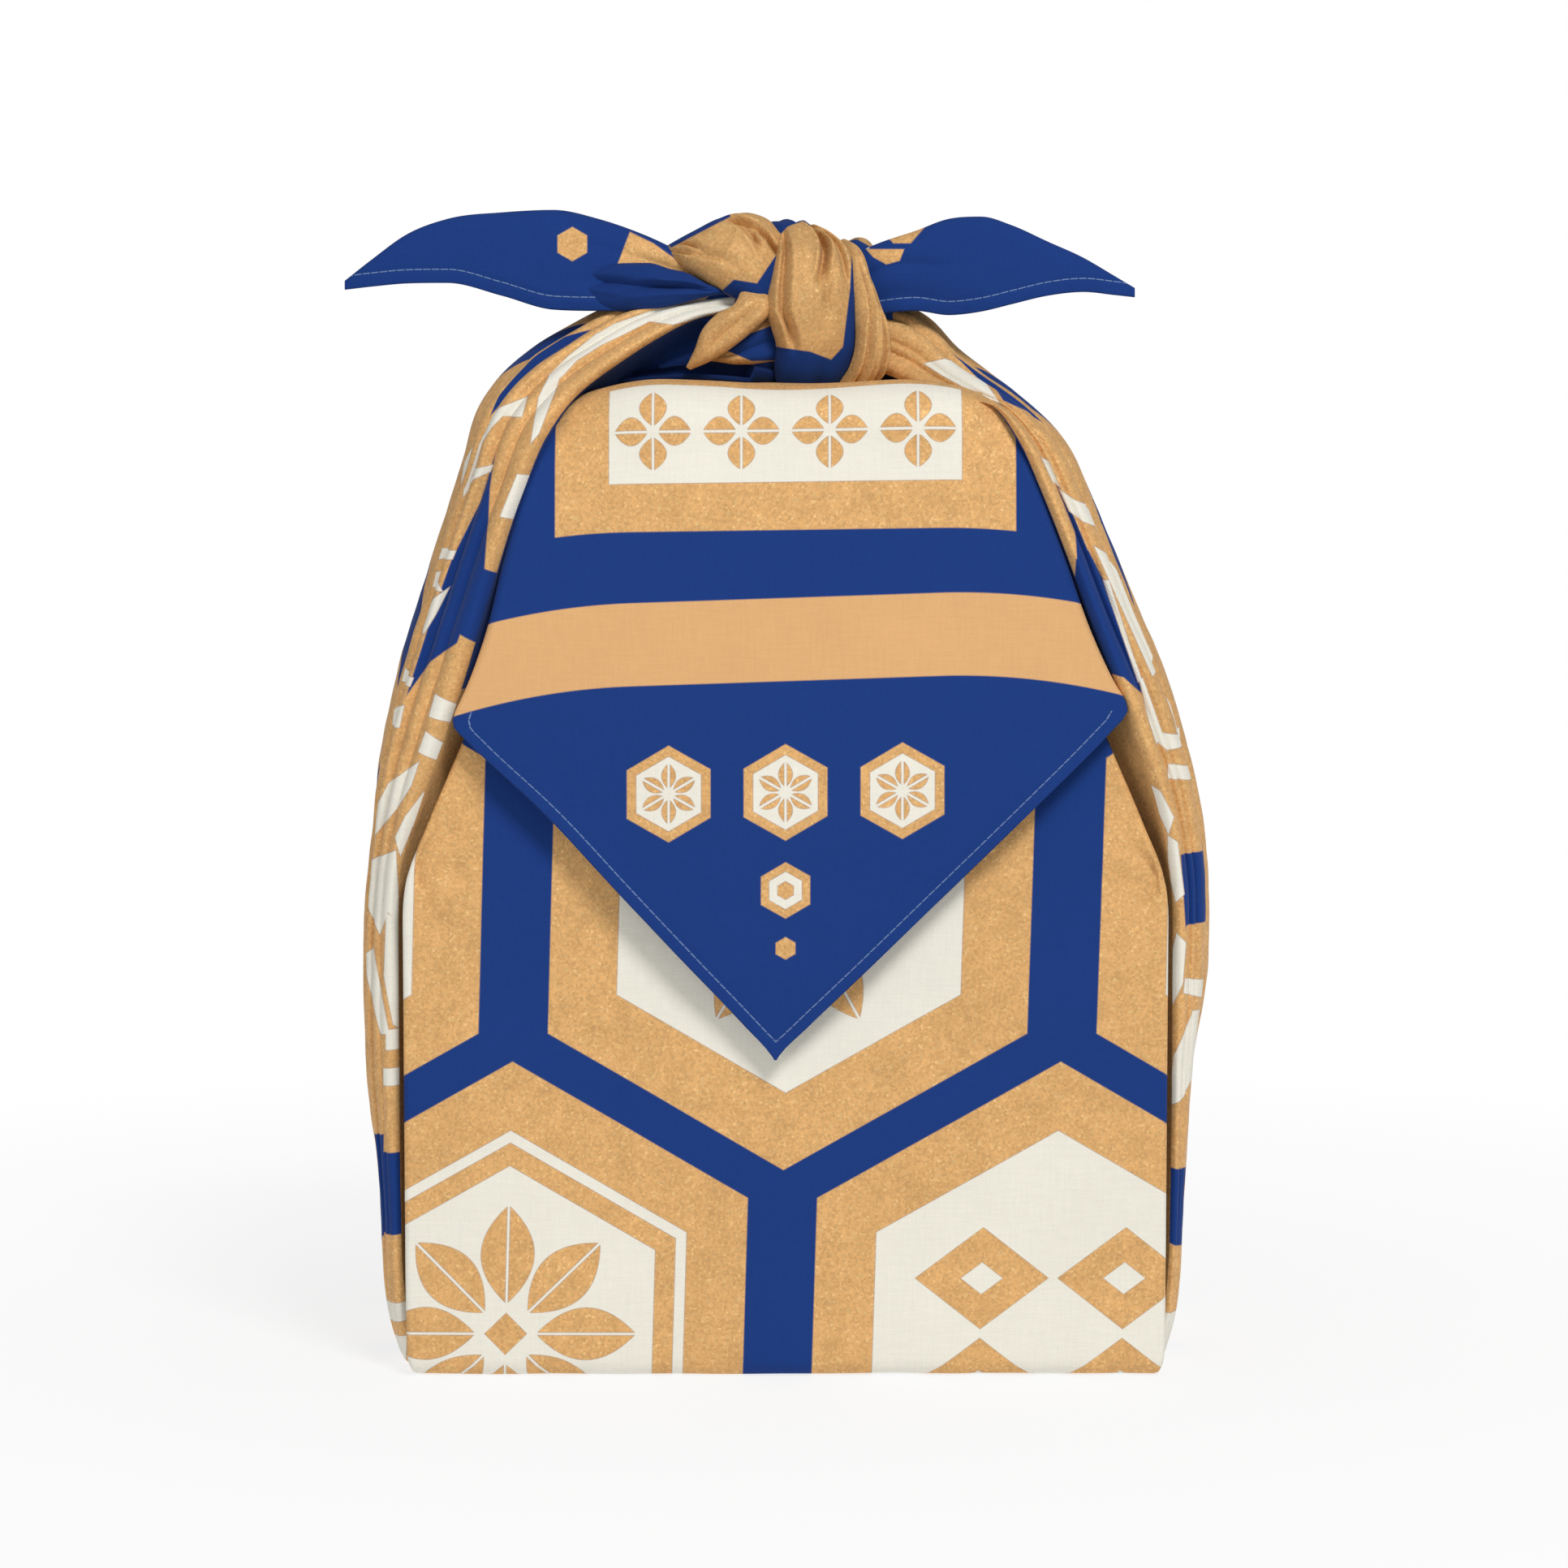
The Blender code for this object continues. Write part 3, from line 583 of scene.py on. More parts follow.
def printed_cotton(name, design, depth=1.0, hemmed=False):
    """Printed cotton of one piece, whose design gives its gold, white and peach.

    A depth under 1 darkens the whole piece. This is painted shade, for cloth that lies in shade
    in the knot and in hollows.
    """
    material = bpy.data.materials.new(name)
    material.use_nodes = True
    tree = material.node_tree
    u, v, place = mapped(tree, "cloth")
    solid = add_node(tree, "TexCoord", {}, "Object")
    gold, white, peach = design(u, v)
    # Glitter: small flakes of uneven brightness. A few of them are painted paler as glints, which
    # is a painted highlight on real flakes.
    flakes = add_node(
        tree, "TexVoronoi", {"Scale": 1.0 / (SPECK * MM), "Vector": solid}, "Color")
    chance = add_node(tree, "SeparateColor", {0: flakes}).node.outputs
    spark = Tone(tree, chance[0])
    shade = Tone(tree, chance[1])
    patches = grain(tree, solid, GLITTER_GRAIN, 3.0)
    glitter = (shade * 0.26 + 0.86) * (patches * 0.34 + 0.84)
    # Cotton: slubs along warp and weft, and dye that took a little unevenly, times the depth,
    # which is painted shade.
    warp = grain(tree, place, SLUB_GRAIN, 2.0, (SLUB_THIN, SLUB_LONG, 1.0))
    weft = grain(tree, place, SLUB_GRAIN, 2.0, (SLUB_LONG, SLUB_THIN, 1.0))
    cloudy = grain(tree, solid, DYE_GRAIN, 3.0)
    evenness_and_painted_shade = ((warp + weft) * 0.09 + 0.91 + (cloudy - 0.5) * 0.10) * depth
    gold_with_painted_glints = layer(tree, dye(GOLD), dye(FLAKE_GLINT), spark.above(0.91, 0.02) * 0.5)
    ink = layer(tree, dye(NAVY), dye(WHITE), white.least(1.0))
    ink = layer(tree, ink, gold_with_painted_glints, gold.least(1.0))
    ink = layer(tree, ink, dye(PEACH), peach)
    strength = gold * (glitter - 1.0) + 1.0
    # Plain weave, its slubs and the soft small creases of pressed cotton.
    threads = (u * (math.pi / THREAD)).work("SINE") * (v * (math.pi / THREAD)).work("SINE")
    creases = grain(tree, solid, CREASE_GRAIN, 4.0)
    relief = threads * 0.06 + (warp + weft) * 0.10 + creases * 0.40 + gold * shade * 0.05
    if hemmed:
        along, inward, _ = mapped(tree, "hem")
        seam = abs(inward - STITCH_PLACE)
        stitches = seam.below(STITCH_WIDTH / 2.0, 0.10)
        stitches = stitches * abs(along.wrapped(STITCH)).below(STITCH_SHARE * STITCH, 0.10)
        ink = layer(tree, ink, dye(STITCH_COLOUR), stitches)
        relief = relief - seam.below(0.9, 1.6) * 0.35 + stitches * 0.20
    tint = add_node(
        tree, "VectorMath", {0: ink, "Scale": strength * evenness_and_painted_shade}, operation="SCALE")
    bump = add_node(tree, "Bump", {"Strength": 0.55, "Distance": 0.0012, "Height": relief})
    feed(tree, tree.nodes["Principled BSDF"], {
        "Base Color": tint, "Roughness": gold * -0.30 + 0.88, "Normal": bump,
        "Metallic": gold * (spark * 0.20 + 0.04), "Specular IOR Level": 0.14,
        "Sheen Weight": 0.06, "Sheen Roughness": 0.4})
    return material


long_cotton = printed_cotton("long_print", long_print, hemmed=True)
declare_cloth(long_cloth, long_cotton)

# The gathered sides: the left and right corners of the square, drawn up in pleats over
# the shoulders and into the knot. The excess of the cloth beside each side lies in the
# pleats, so each pleat shows another slice of the print.
SIDE_SPACING = 2.6
SIDE_ACROSS = 210
GatherRow = namedtuple(
    "GatherRow", "crown_x crown_z front_x front_y front_z floor_x floor_z square pleat")
LEFT_SIDE = table(GatherRow, (
    (110.5, 0.6, 104, 49, 0.6, 100, 0.6, 3.4, 0), (124, 0.8, 119, 49.5, 0.8, 106, 1, 3.4, 0),
    (129, 3, 120.2, 50, 3, 106, 3, 3.4, 0), (131.2, 8, 120.7, 51, 8, 106, 8, 3.3, 0.2),
    (133.6, 18, 125, 51.5, 18, 106, 18, 3.2, 0.4), (135.8, 58, 127.2, 52, 58, 106, 58, 3, 0.8),
    (140.4, 104, 127.4, 52, 104, 106, 104, 2.8, 1.2),
    (140.8, 140, 127.4, 52, 140, 105, 138, 2.7, 1.5),
    (138, 170, 126.6, 54.5, 166, 101, 164, 2.6, 1.9),
    (135, 194, 119.5, 59.5, 190, 96, 187, 2.6, 2.3),
    (130.4, 219, 109.5, 60.5, 217, 88, 213, 2.5, 2.6),
    (118.6, 258, 97.6, 57.8, 255, 76, 250, 2.3, 3),
    (105.6, 297, 86, 56.5, 291, 66, 284, 2.2, 3.2), (98, 320, 77.5, 53.5, 311, 60, 302, 2.1, 3.2),
    (84.5, 334.4, 67.5, 43.5, 324, 52, 312, 2, 3),
    (70.5, 343.5, 55.5, 32.5, 333, 43, 316, 2, 2.6), (56, 351, 43, 25, 341, 33, 318, 2, 2.2),
    (39, 355.5, 30, 19, 347.5, 22, 320, 2, 1.6), (14, 360, 12, 13, 350, 9, 324, 2, 0.8),
))
RIGHT_SIDE = table(GatherRow, (
    (110.5, 0.6, 104, 49, 0.6, 100, 0.6, 3.4, 0), (122, 0.8, 118, 49.5, 0.8, 106, 1, 3.4, 0),
    (126.8, 3, 120, 50, 3, 106, 3, 3.4, 0), (128.8, 8, 120.5, 51, 8, 106, 8, 3.3, 0.2),
    (130.8, 18, 125, 51.5, 18, 106, 18, 3.2, 0.4), (133.4, 60, 127.2, 52, 60, 106, 60, 3, 0.8),
    (136.2, 104, 127.4, 52, 104, 106, 104, 2.8, 1.2),
    (140.8, 136, 127.4, 52, 136, 105, 134, 2.7, 1.5),
    (140.4, 164, 126.6, 54.5, 162, 101, 160, 2.6, 1.9),
    (136.6, 190, 122, 59.5, 188, 96, 185, 2.6, 2.3),
    (128.8, 219, 112, 60.5, 218, 88, 213, 2.5, 2.6),
    (113.6, 256, 97.6, 57.8, 256, 76, 250, 2.3, 3),
    (100.2, 288, 84.5, 55.5, 290, 66, 284, 2.2, 3), (91.2, 307, 75.5, 52.5, 310, 60, 302, 2.1, 3),
    (80, 318.5, 68, 46, 319.5, 54, 311, 2, 2.8), (66.8, 327.6, 57.5, 40, 321.5, 46, 315, 2, 2.6),
    (56.8, 336, 48, 31, 324, 38, 317, 2, 2.2), (47, 346, 37.5, 21, 328, 29, 318, 2, 1.8),
    (18, 356, 14, 12, 336, 10, 322, 2, 0.8),
))
EDGE_RISE = 0.15          # least share of the outward way that a pleat takes at an edge
FLOOR_SHARE = 0.68        # depth of a rib's floor as a share of its edge's depth
KNOT_FLOOR_DROP = 0.64    # and how much farther in it lies near the knot
TUCKED_STEPS = 5          # points of the cloth that runs in under each edge
PLEAT_TROUGH = 0.55       # how far the cloth sinks between pleats, as a share of them
PLEAT_WANDER = 0.010      # how far a pleat wanders across a rib on its way up

# Pleats across a rib, from its front edge (0) to its back edge (1): the place of the
# fold, its height, how square it is in front and behind (less is squarer), the trough
# behind it, and how far the lattice in it turns from straight up the side, in degrees.
Pleat = namedtuple("Pleat", "place height rise fall end turn")
LEFT_PLEATS = table(Pleat, (
    (0.04, 1.35, 0.6, 0.8, 0.115, 0), (0.16, 0.9, 0.9, 0.9, 0.212, 0),
    (0.24, 1.6, 0.4, 0.9, 0.31, 0), (0.345, 1.35, 0.5, 0.9, 0.42, 0),
    (0.5, 1.6, 0.6, 0.6, 0.58, 0), (0.665, 1.35, 0.9, 0.5, 0.72, -24),
    (0.79, 1.6, 0.9, 0.4, 0.865, -48), (0.95, 1.3, 0.8, 0.6, 1.01, -76),
))
RIGHT_PLEATS = table(Pleat, (
    (0.04, 1.35, 0.6, 0.8, 0.11, 0), (0.14, 0.95, 0.9, 0.9, 0.17, 0),
    (0.235, 1.55, 0.4, 0.9, 0.32, 0), (0.37, 1.35, 0.5, 0.9, 0.45, 0),
    (0.53, 1.6, 0.6, 0.6, 0.62, 0), (0.71, 1.3, 0.9, 0.5, 0.78, -26),
    (0.88, 1.55, 0.8, 0.5, 1.01, -60),
))
TURN_START = 95.0         # height at which the pleats begin to turn the print
TURN_REACH = 110.0        # and the height over which they turn it
SIDE_EDGE = 125.5         # where the sides begin on the flat cloth
FRONT_PLEATS = 4          # pleats that face the front
ROUND_FROM = 0.29         # where a rib turns away from the front, and over how much of it
ROUND_REACH = 0.12
ROUND_SHIFT = 14.0        # how far that carries its print out, past the patches
APART = 1000.0            # how far off their print lies in the UV map
UNDER_NAVY_FROM = 228.0   # the cloth under the edges is gold below this height
BASE_WIDTH = 115.0


def signed_power(value, power):
    """A power of a value's size, with the value's sign."""
    return math.copysign(abs(value) ** power, value)


def rib(row, side, place):
    """A point of a rib without its folds, and the way the cloth faces there."""
    middle = Vector((side * row.front_x, 0.0, row.front_z))
    swell = Vector((side * row.crown_x, 0.0, row.crown_z)) - middle
    angle = math.pi * (place - 0.5)
    across = signed_power(math.sin(angle), 2.0 / row.square)
    up = abs(math.cos(angle)) ** (2.0 / row.square)
    facing = (swell.normalized() * max(up, EDGE_RISE) + Vector((0.0, across, 0.0)))
    return (middle + swell * up + Vector((0.0, across * row.front_y, 0.0)),
            facing.normalized())


def pleat_height(place, pleats):
    """Height of the folds at one place across a rib, as a share of the row's pleat."""
    start = 0.0
    for pleat in pleats:
        if place < pleat.end:
            break
        start = pleat.end
    if place < pleat.place:
        share = max(0.0, (place - start) / (pleat.place - start))
        power = pleat.rise
    else:
        share = (pleat.end - place) / (pleat.end - pleat.place)
        power = pleat.fall
    return pleat.height * math.sin(0.5 * math.pi * share) ** power - PLEAT_TROUGH


def gathered_side(name, rows, pleats, side):
    """One side from under the base over its shoulder into the knot."""
    dense = drawn_out(rows, SIDE_SPACING)
    places = [0.5 - 0.5 * math.cos(math.pi * k / SIDE_ACROSS) for k in range(SIDE_ACROSS + 1)]
    grid = []
    for i, row in enumerate(dense):
        points = []
        for place in places:
            wander = slack(Vector((4.0 * place, row.crown_z / 60.0, side)), 1.0, 6.0)
            wander *= PLEAT_WANDER * min(1.0, row.pleat) * math.sin(math.pi * place)
            point, facing = rib(row, side, place + wander)
            fold = row.pleat * pleat_height(place, pleats)
            wrinkle = 0.55 * slack(point, 26.0, 3.0) + 0.30 * slack(point, 9.0, 5.0)
            points.append(point + facing * (fold + wrinkle * min(1.0, row.pleat)))
        drop = KNOT_FLOOR_DROP * soft_step((row.floor_z - TOP_FROM) / TOP_OVER)
        for end, depth in ((0, -row.front_y), (-1, row.front_y)):
            edge = points[end]
            floor = Vector((side * row.floor_x, (FLOOR_SHARE - drop) * depth, row.floor_z))
            run = []
            for k in range(1, TUCKED_STEPS + 1):
                angle = math.pi / 2.0 * k / TUCKED_STEPS
                point = edge.lerp(floor, 1.0 - math.cos(angle))
                point.y = edge.y + (floor.y - edge.y) * math.sin(angle)
                run.append(point)
            points = extended(points, run, end)
        grid.append(points)
    owners = []
    for cell in range(len(grid[0]) - 1):
        inner = min(max(cell - TUCKED_STEPS, 0), SIDE_ACROSS - 1)
        middle = (places[inner] + places[inner + 1]) / 2.0
        owners.append(next(k for k, p in enumerate(pleats) if middle < p.end))
    columns = [owners.index(k) + owners.count(k) // 2 for k in range(len(pleats))]
    # The middle of each slice, followed over the flat cloth from the edge of the base.
    slices = []
    for pleat, column in zip(pleats, columns):
        u = SIDE_EDGE
        v = -BASE_WIDTH / 2.0 - grid[0][column].y
        run = [(u, v, 0.0)]
        for low, high in zip(grid, grid[1:]):
            turned = soft_step((high[column].z - TURN_START) / TURN_REACH)
            angle = math.radians(pleat.turn) * turned
            step = math.dist(low[column], high[column])
            u += step * math.cos(angle)
            v += step * math.sin(angle)
            run.append((u, v, angle))
        slices.append(run)
    spread = [lengths(row) for row in grid]

    def side_place(r, c, cell):
        """Flat place, beside the middle of the slice that a pleat shows.

        The front pleats, and the cloth under the edges, have a print of their own.
        """
        point = grid[r][c]
        if not TUCKED_STEPS <= cell < TUCKED_STEPS + SIDE_ACROSS:
            return point.x + 2.0 * APART, point.z
        owner = owners[cell]
        if owner < FRONT_PLEATS:
            past = soft_step((places[c - TUCKED_STEPS] - ROUND_FROM) / ROUND_REACH)
            return point.x + side * ROUND_SHIFT * past + APART, point.z
        u, v, angle = slices[owner][r]
        beside = spread[r][c] - spread[r][columns[owner]]
        return (side * (u + beside * math.sin(angle)), v - beside * math.cos(angle))

    inside = Vector((side * 100.0, 0.0, BUNDLE_MIDDLE.z))
    return lay_cloth(name, grid, inside, cloth=side_place), grid


# Patches of the print that the front pleats show: x and z of each corner in turn, from the
# front. The rest of these pleats is gold.
LEFT_NAVY = (
    (-93, 322.5, -87, 328.5, -83.5, 338.5, -88, 335, -97.5, 322.5, -99, 316.5),
    (-88, 335, -87.5, 328, -82, 333, -79.5, 341.5),
    (-71.5, 339.5, -65, 344, -79.5, 341.5, -82, 333), (-96.5, 293.5, -95.5, 301.5, -99.5, 288.5),
    (-109, 269.5, -98, 267.5, -97, 283, -96.5, 293.5, -99.5, 288.5),
    (-119, 240.5, -123.5, 226.5, -116, 237),
    (-119, 240.5, -116, 237, -107, 243.5, -98, 267.5, -109, 269.5, -114, 256),
    (-102.5, 257, -106, 246.5, -99, 242.5, -94, 254.5, -92, 265, -98.5, 267.5),
    (-142, 40, -133.5, 45, -133, 79.5, -140, 77),
    (-134, 46, -124, 47.5, -124, 74.5, -133.5, 73.5),
)
LEFT_WHITE = (
    (-17, 355, -26.5, 354, -45, 350, -45, 347, -37, 346, -29, 348, -17, 352),
    (-45, 350, -56.5, 346, -62.5, 342.5, -61, 339, -53, 343, -44.5, 347),
    (-71.5, 335.5, -77.5, 329.5, -73.5, 329, -68.5, 334.5),
    (-62, 343, -71.5, 335.5, -68.5, 334.5, -60.5, 339.5),
    (-77, 330, -80.5, 322.5, -82.5, 308.5, -79, 312.5, -75.5, 324, -73.5, 329.5),
    (-92.5, 284.5, -88, 283.5, -83, 297.5, -87, 298),
    (-97.5, 315, -96.5, 312.5, -92.5, 316.5, -93.5, 319),
    (-86, 316.5, -84.5, 322.5, -93.5, 319, -92.5, 316.5),
    (-96, 313, -97.5, 315.5, -103, 306.5, -100.5, 306),
    (-103, 306.5, -108.5, 291.5, -106.5, 294, -100.5, 306),
    (-96.5, 298.5, -95.5, 300.5, -102, 299, -102, 296),
    (-102, 296, -102, 299, -109, 292, -108.5, 289.5),
    (-118.5, 269, -109, 270, -108, 272.5, -117.5, 272.5),
    (-119, 260, -112.5, 259.5, -115.5, 265, -118.5, 264.5),
    (-110.5, 260, -115, 257, -120, 249, -118.5, 245.5, -114.5, 252),
    (-130.5, 229, -123, 228.5, -122, 231, -129.5, 233),
    (-132, 214.5, -126.5, 215, -125, 222, -132.5, 219.5),
    (-116, 219.5, -108.5, 217.5, -105.5, 222.5, -114, 226.5),
    (-119.5, 208, -112, 204.5, -110, 209.5, -117, 214.5),
    (-119.5, 204.5, -130, 196.5, -136, 185.5, -136, 178, -127, 189, -122, 197),
    (-127.5, 179.5, -126, 173.5, -122, 183, -124, 186.5),
    (-116, 191, -118, 194.5, -124, 186.5, -122, 183),
    (-138.5, 156, -133.5, 146.5, -130.5, 154.5, -139, 169),
    (-130.5, 154.5, -127, 151, -127.5, 175, -139, 169),
    (-132, 133, -129, 117, -126, 115, -126, 151, -131, 154),
    (-138.5, 132.5, -133.5, 113.5, -130.5, 114),
    (-136, 141, -140.5, 137.5, -138.5, 132.5, -130.5, 114),
    (-131.5, 108.5, -125, 109, -125, 115.5, -131.5, 115),
    (-132.5, 96.5, -125, 97, -125, 102.5, -132.5, 102),
    (-133, 16, -125.5, 18, -125, 24, -133, 22.5), (-135, -13, -128, -13, -125.5, 12.5, -133, 10),
)
RIGHT_NAVY = (
    (94.5, 279, 95, 267, 98.5, 272.5), (93.5, 284.5, 87.5, 296.5, 94.5, 279, 98.5, 272.5),
    (110, 232.5, 116, 227, 111.5, 243.5),
    (104.5, 261.5, 98.5, 273, 94.5, 270.5, 94, 255.5, 98.5, 244.5, 103.5, 234, 110, 232.5,
     111.5, 243.5),
    (71.5, 321.5, 81.5, 317, 89.5, 314, 76.5, 326, 63, 335.5),
    (131.5, 150, 138.5, 173.5, 129.5, 173.5), (143, 150, 142, 174, 138.5, 173.5, 131.5, 150),
    (137.5, 174.5, 142, 173, 139.5, 183, 137, 183.5), (125, 45, 133.5, 41, 133, 67.5, 125, 69.5),
)
RIGHT_WHITE = (
    (51.5, 329.5, 59, 325.5, 70, 320.5, 66, 326.5, 59.5, 332.5, 52.5, 334.5, 46, 333),
    (87, 295.5, 89, 294, 85.5, 302, 83.5, 303), (94.5, 289, 89.5, 292.5, 92.5, 286, 97, 282.5),
    (97, 282.5, 106.5, 278.5, 103.5, 285.5, 94.5, 289),
    (120, 232, 126.5, 237, 115.5, 265, 101, 274), (115, 230.5, 116, 231, 105.5, 263, 104, 263),
    (118.5, 218, 121, 210.5, 123, 213.5, 116.5, 231.5, 115.5, 231),
    (133, 209, 135, 213.5, 130, 212, 125, 208), (122.5, 213.5, 121, 211, 125, 208, 130, 212),
    (128.5, 213, 133, 211, 131, 221, 126.5, 226.5),
    (125, 199, 134.5, 197.5, 134, 201.5, 125, 203.5),
    (110.5, 190, 118, 178.5, 122.5, 176, 117.5, 188, 112, 197.5, 108.5, 200.5),
    (121, 190, 125, 181, 126.5, 186.5), (122, 195, 113.5, 200, 121, 190, 126.5, 186.5),
    (125.5, 168, 128, 158, 130.5, 160.5, 128, 178, 125, 180),
    (127.5, 124, 130.5, 130.5, 131.5, 144, 128.5, 147, 126, 135),
    (131, 127.5, 140.5, 123.5, 141, 129.5, 131.5, 132),
    (128, 106.5, 126.5, 90, 131, 92, 139, 105, 140.5, 120, 134.5, 120.5),
    (127, -13, 132, -13, 130, 19.5, 124.5, 20.5),
)


def front_pleat_print(u, v, navy_shapes, white_shapes):
    """The lattice, the patches on the front pleats, and gold and navy under the edges."""
    gold, white = hexagon_lattice(u, v)
    is_front = u.above(0.5 * APART)
    seen = u - APART
    front_white = patched(seen, v, white_shapes)
    front_navy = patched(seen, v, navy_shapes) * front_white.inverse()
    front_gold = front_navy.most(front_white).inverse()
    is_lattice = is_front.inverse()
    shown = u.below(1.5 * APART)
    under_gold = shown.inverse() * v.below(UNDER_NAVY_FROM)
    gold = (gold * is_lattice + front_gold * is_front) * shown
    white = (white * is_lattice + front_white * is_front) * shown
    return gold + under_gold, white, u * 0.0


for name, rows, pleats, side, navy_shapes, white_shapes in (
        ("left_side", LEFT_SIDE, LEFT_PLEATS, -1, LEFT_NAVY, LEFT_WHITE),
        ("right_side", RIGHT_SIDE, RIGHT_PLEATS, 1, RIGHT_NAVY, RIGHT_WHITE)):
    side_cloth, side_grid = gathered_side(name, rows, pleats, side)
    side_cotton = printed_cotton(name + "_print", lambda u, v: front_pleat_print(
        u, v, navy_shapes, white_shapes))
    declare_cloth(side_cloth, side_cotton)

# The knot: the two gathered corners cross and wrap each other in a square knot. Each
# fold is the same cotton drawn together, with its edges turned in behind it and grooves
# where the cloth is gathered.
KNOT_CENTRE = Vector((0.0, 4.0, 352.0))
FoldRow = namedtuple("FoldRow", "a_x a_y a_z b_x b_y b_z lift")
Groove = namedtuple("Groove", "start finish begins ends depth width")
FOLD_SPACING = 0.9        # from one point of a fold to the next along it
FOLD_ACROSS = 116
FOLD_CURL = 38.0          # how far an edge turns in behind, in degrees
FOLD_RADIUS = 2.2
FOLD_FULLNESS = 0.75      # 1 is an oval fold, less has a flatter face
GROOVE_DEEP = 1.8         # depth of the grooves, and of the swell beside them
GROOVE_LIP = 0.40
GROOVE_FADE = 0.14        # share of a fold over which a groove begins and ends
GROOVE_SLOPE = 1.15
LIP_PLACE = 2.2           # the swell's place beside a groove, in widths of the groove
HeartRow = namedtuple("HeartRow", "x half_depth half_height")
HEART = table(HeartRow, (
    (-36, 7, 7), (-32, 9, 10), (-18, 13, 16), (0, 15, 21), (18, 15, 19), (31, 11, 15), (36, 8, 9),
))
HEART_HEIGHT = 349.0
HEART_ACROSS = 64


def knot_fold(name, rows, grooves, seed):
    """A fold between two edges, a and b, lifted between them away from the knot's middle."""
    dense = drawn_out(table(FoldRow, rows), FOLD_SPACING, places=6)
    edges = [(Vector(r[:3]), Vector(r[3:6])) for r in dense]
    middles = [(a + b) / 2.0 for a, b in edges]
    grid = []
    for i, row in enumerate(dense):
        run = middles[min(i + 2, len(dense) - 1)] - middles[max(i - 2, 0)]
        half = (edges[i][1] - edges[i][0]) / 2.0
        outward = run.cross(half).normalized()
        if outward.dot(middles[i] - KNOT_CENTRE) < 0.0:
            outward.negate()
        share = i / (len(dense) - 1)
        points = []
        for k in range(FOLD_ACROSS + 1):
            turn = 180.0 + 2.0 * FOLD_CURL
            angle = math.radians(turn * k / FOLD_ACROSS - FOLD_CURL)
            across = math.cos(angle)
            height = math.sin(angle)
            point = middles[i] + half * across
            if height < 0.0:
                points.append(point + outward * FOLD_RADIUS * height)
                continue
            relief = 0.30 * slack(Vector((across * half.length / 3.5, share * 4.0, seed)), 1.0)
            relief += 0.35 * slack(point, 6.0, seed)
            for groove in table(Groove, grooves):
                centre = groove.start + (groove.finish - groove.start) * share
                fade = soft_step((share - groove.begins) / GROOVE_FADE) * groove.depth
                fade *= soft_step((groove.ends - share) / GROOVE_FADE)
                away = abs(across - centre) / groove.width
                relief -= GROOVE_DEEP * fade * math.exp(-away ** GROOVE_SLOPE)
                relief += GROOVE_LIP * fade * math.exp(-(away - LIP_PLACE) ** 2)
            rise = row.lift * height ** FOLD_FULLNESS + relief * min(1.0, 2.0 * height)
            points.append(point + outward * rise)
        grid.append(points)

    def fold_place(r, c, _):
        """The print is placed as it shows from the front."""
        point = grid[r][c]
        return point.x, point.z

    return lay_cloth(name, grid, KNOT_CENTRE, cloth=fold_place), grid


def gold_alone(gold):
    """A design of gold on navy, with no white and no peach."""
    return gold, gold * 0.0, gold * 0.0


def plain_gold(u, v):
    return gold_alone((u * 0.0).inverse())


def plain_navy(u, v):
    return gold_alone(u * 0.0)


def lobe_print(u, v):
    """Gold, but navy at its right and along the edge that comes over from behind."""
    return gold_alone(patched(u, v, (
        (-20.9, 356.8, -7.2, 349.0, -8.0, 359.0, -9.3, 359.2, -16.0, 361.3),
        (-9.3, 359.2, -7.2, 349.0, 3.0, 349.0, 3.0, 372.0, -0.6, 372.0),
        (-38.0, 371.3, -18.6, 381.4, -19.0, 386.0, -42.0, 375.5))).inverse())


def loop_print(u, v):
    """Gold above, with a navy border below and at its right."""
    return gold_alone(patched(u, v, (
        (-14.0, 340.3, 9.0, 337.2, 9.0, 385.0, -14.0, 385.0),
        (7.7, 337.5, 15.0, 334.7, 18.7, 338.7, 21.1, 358.0, 22.5, 385.0, 7.7, 385.0))))


def second_print(u, v):
    """Gold with a navy patch."""
    return gold_alone(patched(u, v, (
        (-19.1, 337.3, -11.1, 334.0, -3.8, 334.2, 2.0, 339.7, 2.0, 347.8, -13.6, 341.9),
    )).inverse())


KNOT_PAINTED_SHADE = 0.86         # painted shade: how far the knot's cloth is darkened for the shade it lies in
HOLLOW_PAINTED_SHADE = 0.5        # and the deeper painted shade on the navy in the hollow under the left strap
# The knot's materials are darkened as painted shade, and the navy of the hollow more so.
shaded_knot_gold = printed_cotton("shaded_knot_gold", plain_gold, KNOT_PAINTED_SHADE)
shaded_knot_navy = printed_cotton("shaded_knot_navy", plain_navy, KNOT_PAINTED_SHADE)
shaded_hollow_navy = printed_cotton("shaded_hollow_navy", plain_navy, HOLLOW_PAINTED_SHADE)
shaded_lobe_cotton = printed_cotton("lobe_print", lobe_print, KNOT_PAINTED_SHADE)
shaded_loop_cotton = printed_cotton("loop_print", loop_print, KNOT_PAINTED_SHADE)
shaded_second_cotton = printed_cotton("second_print", second_print, KNOT_PAINTED_SHADE)

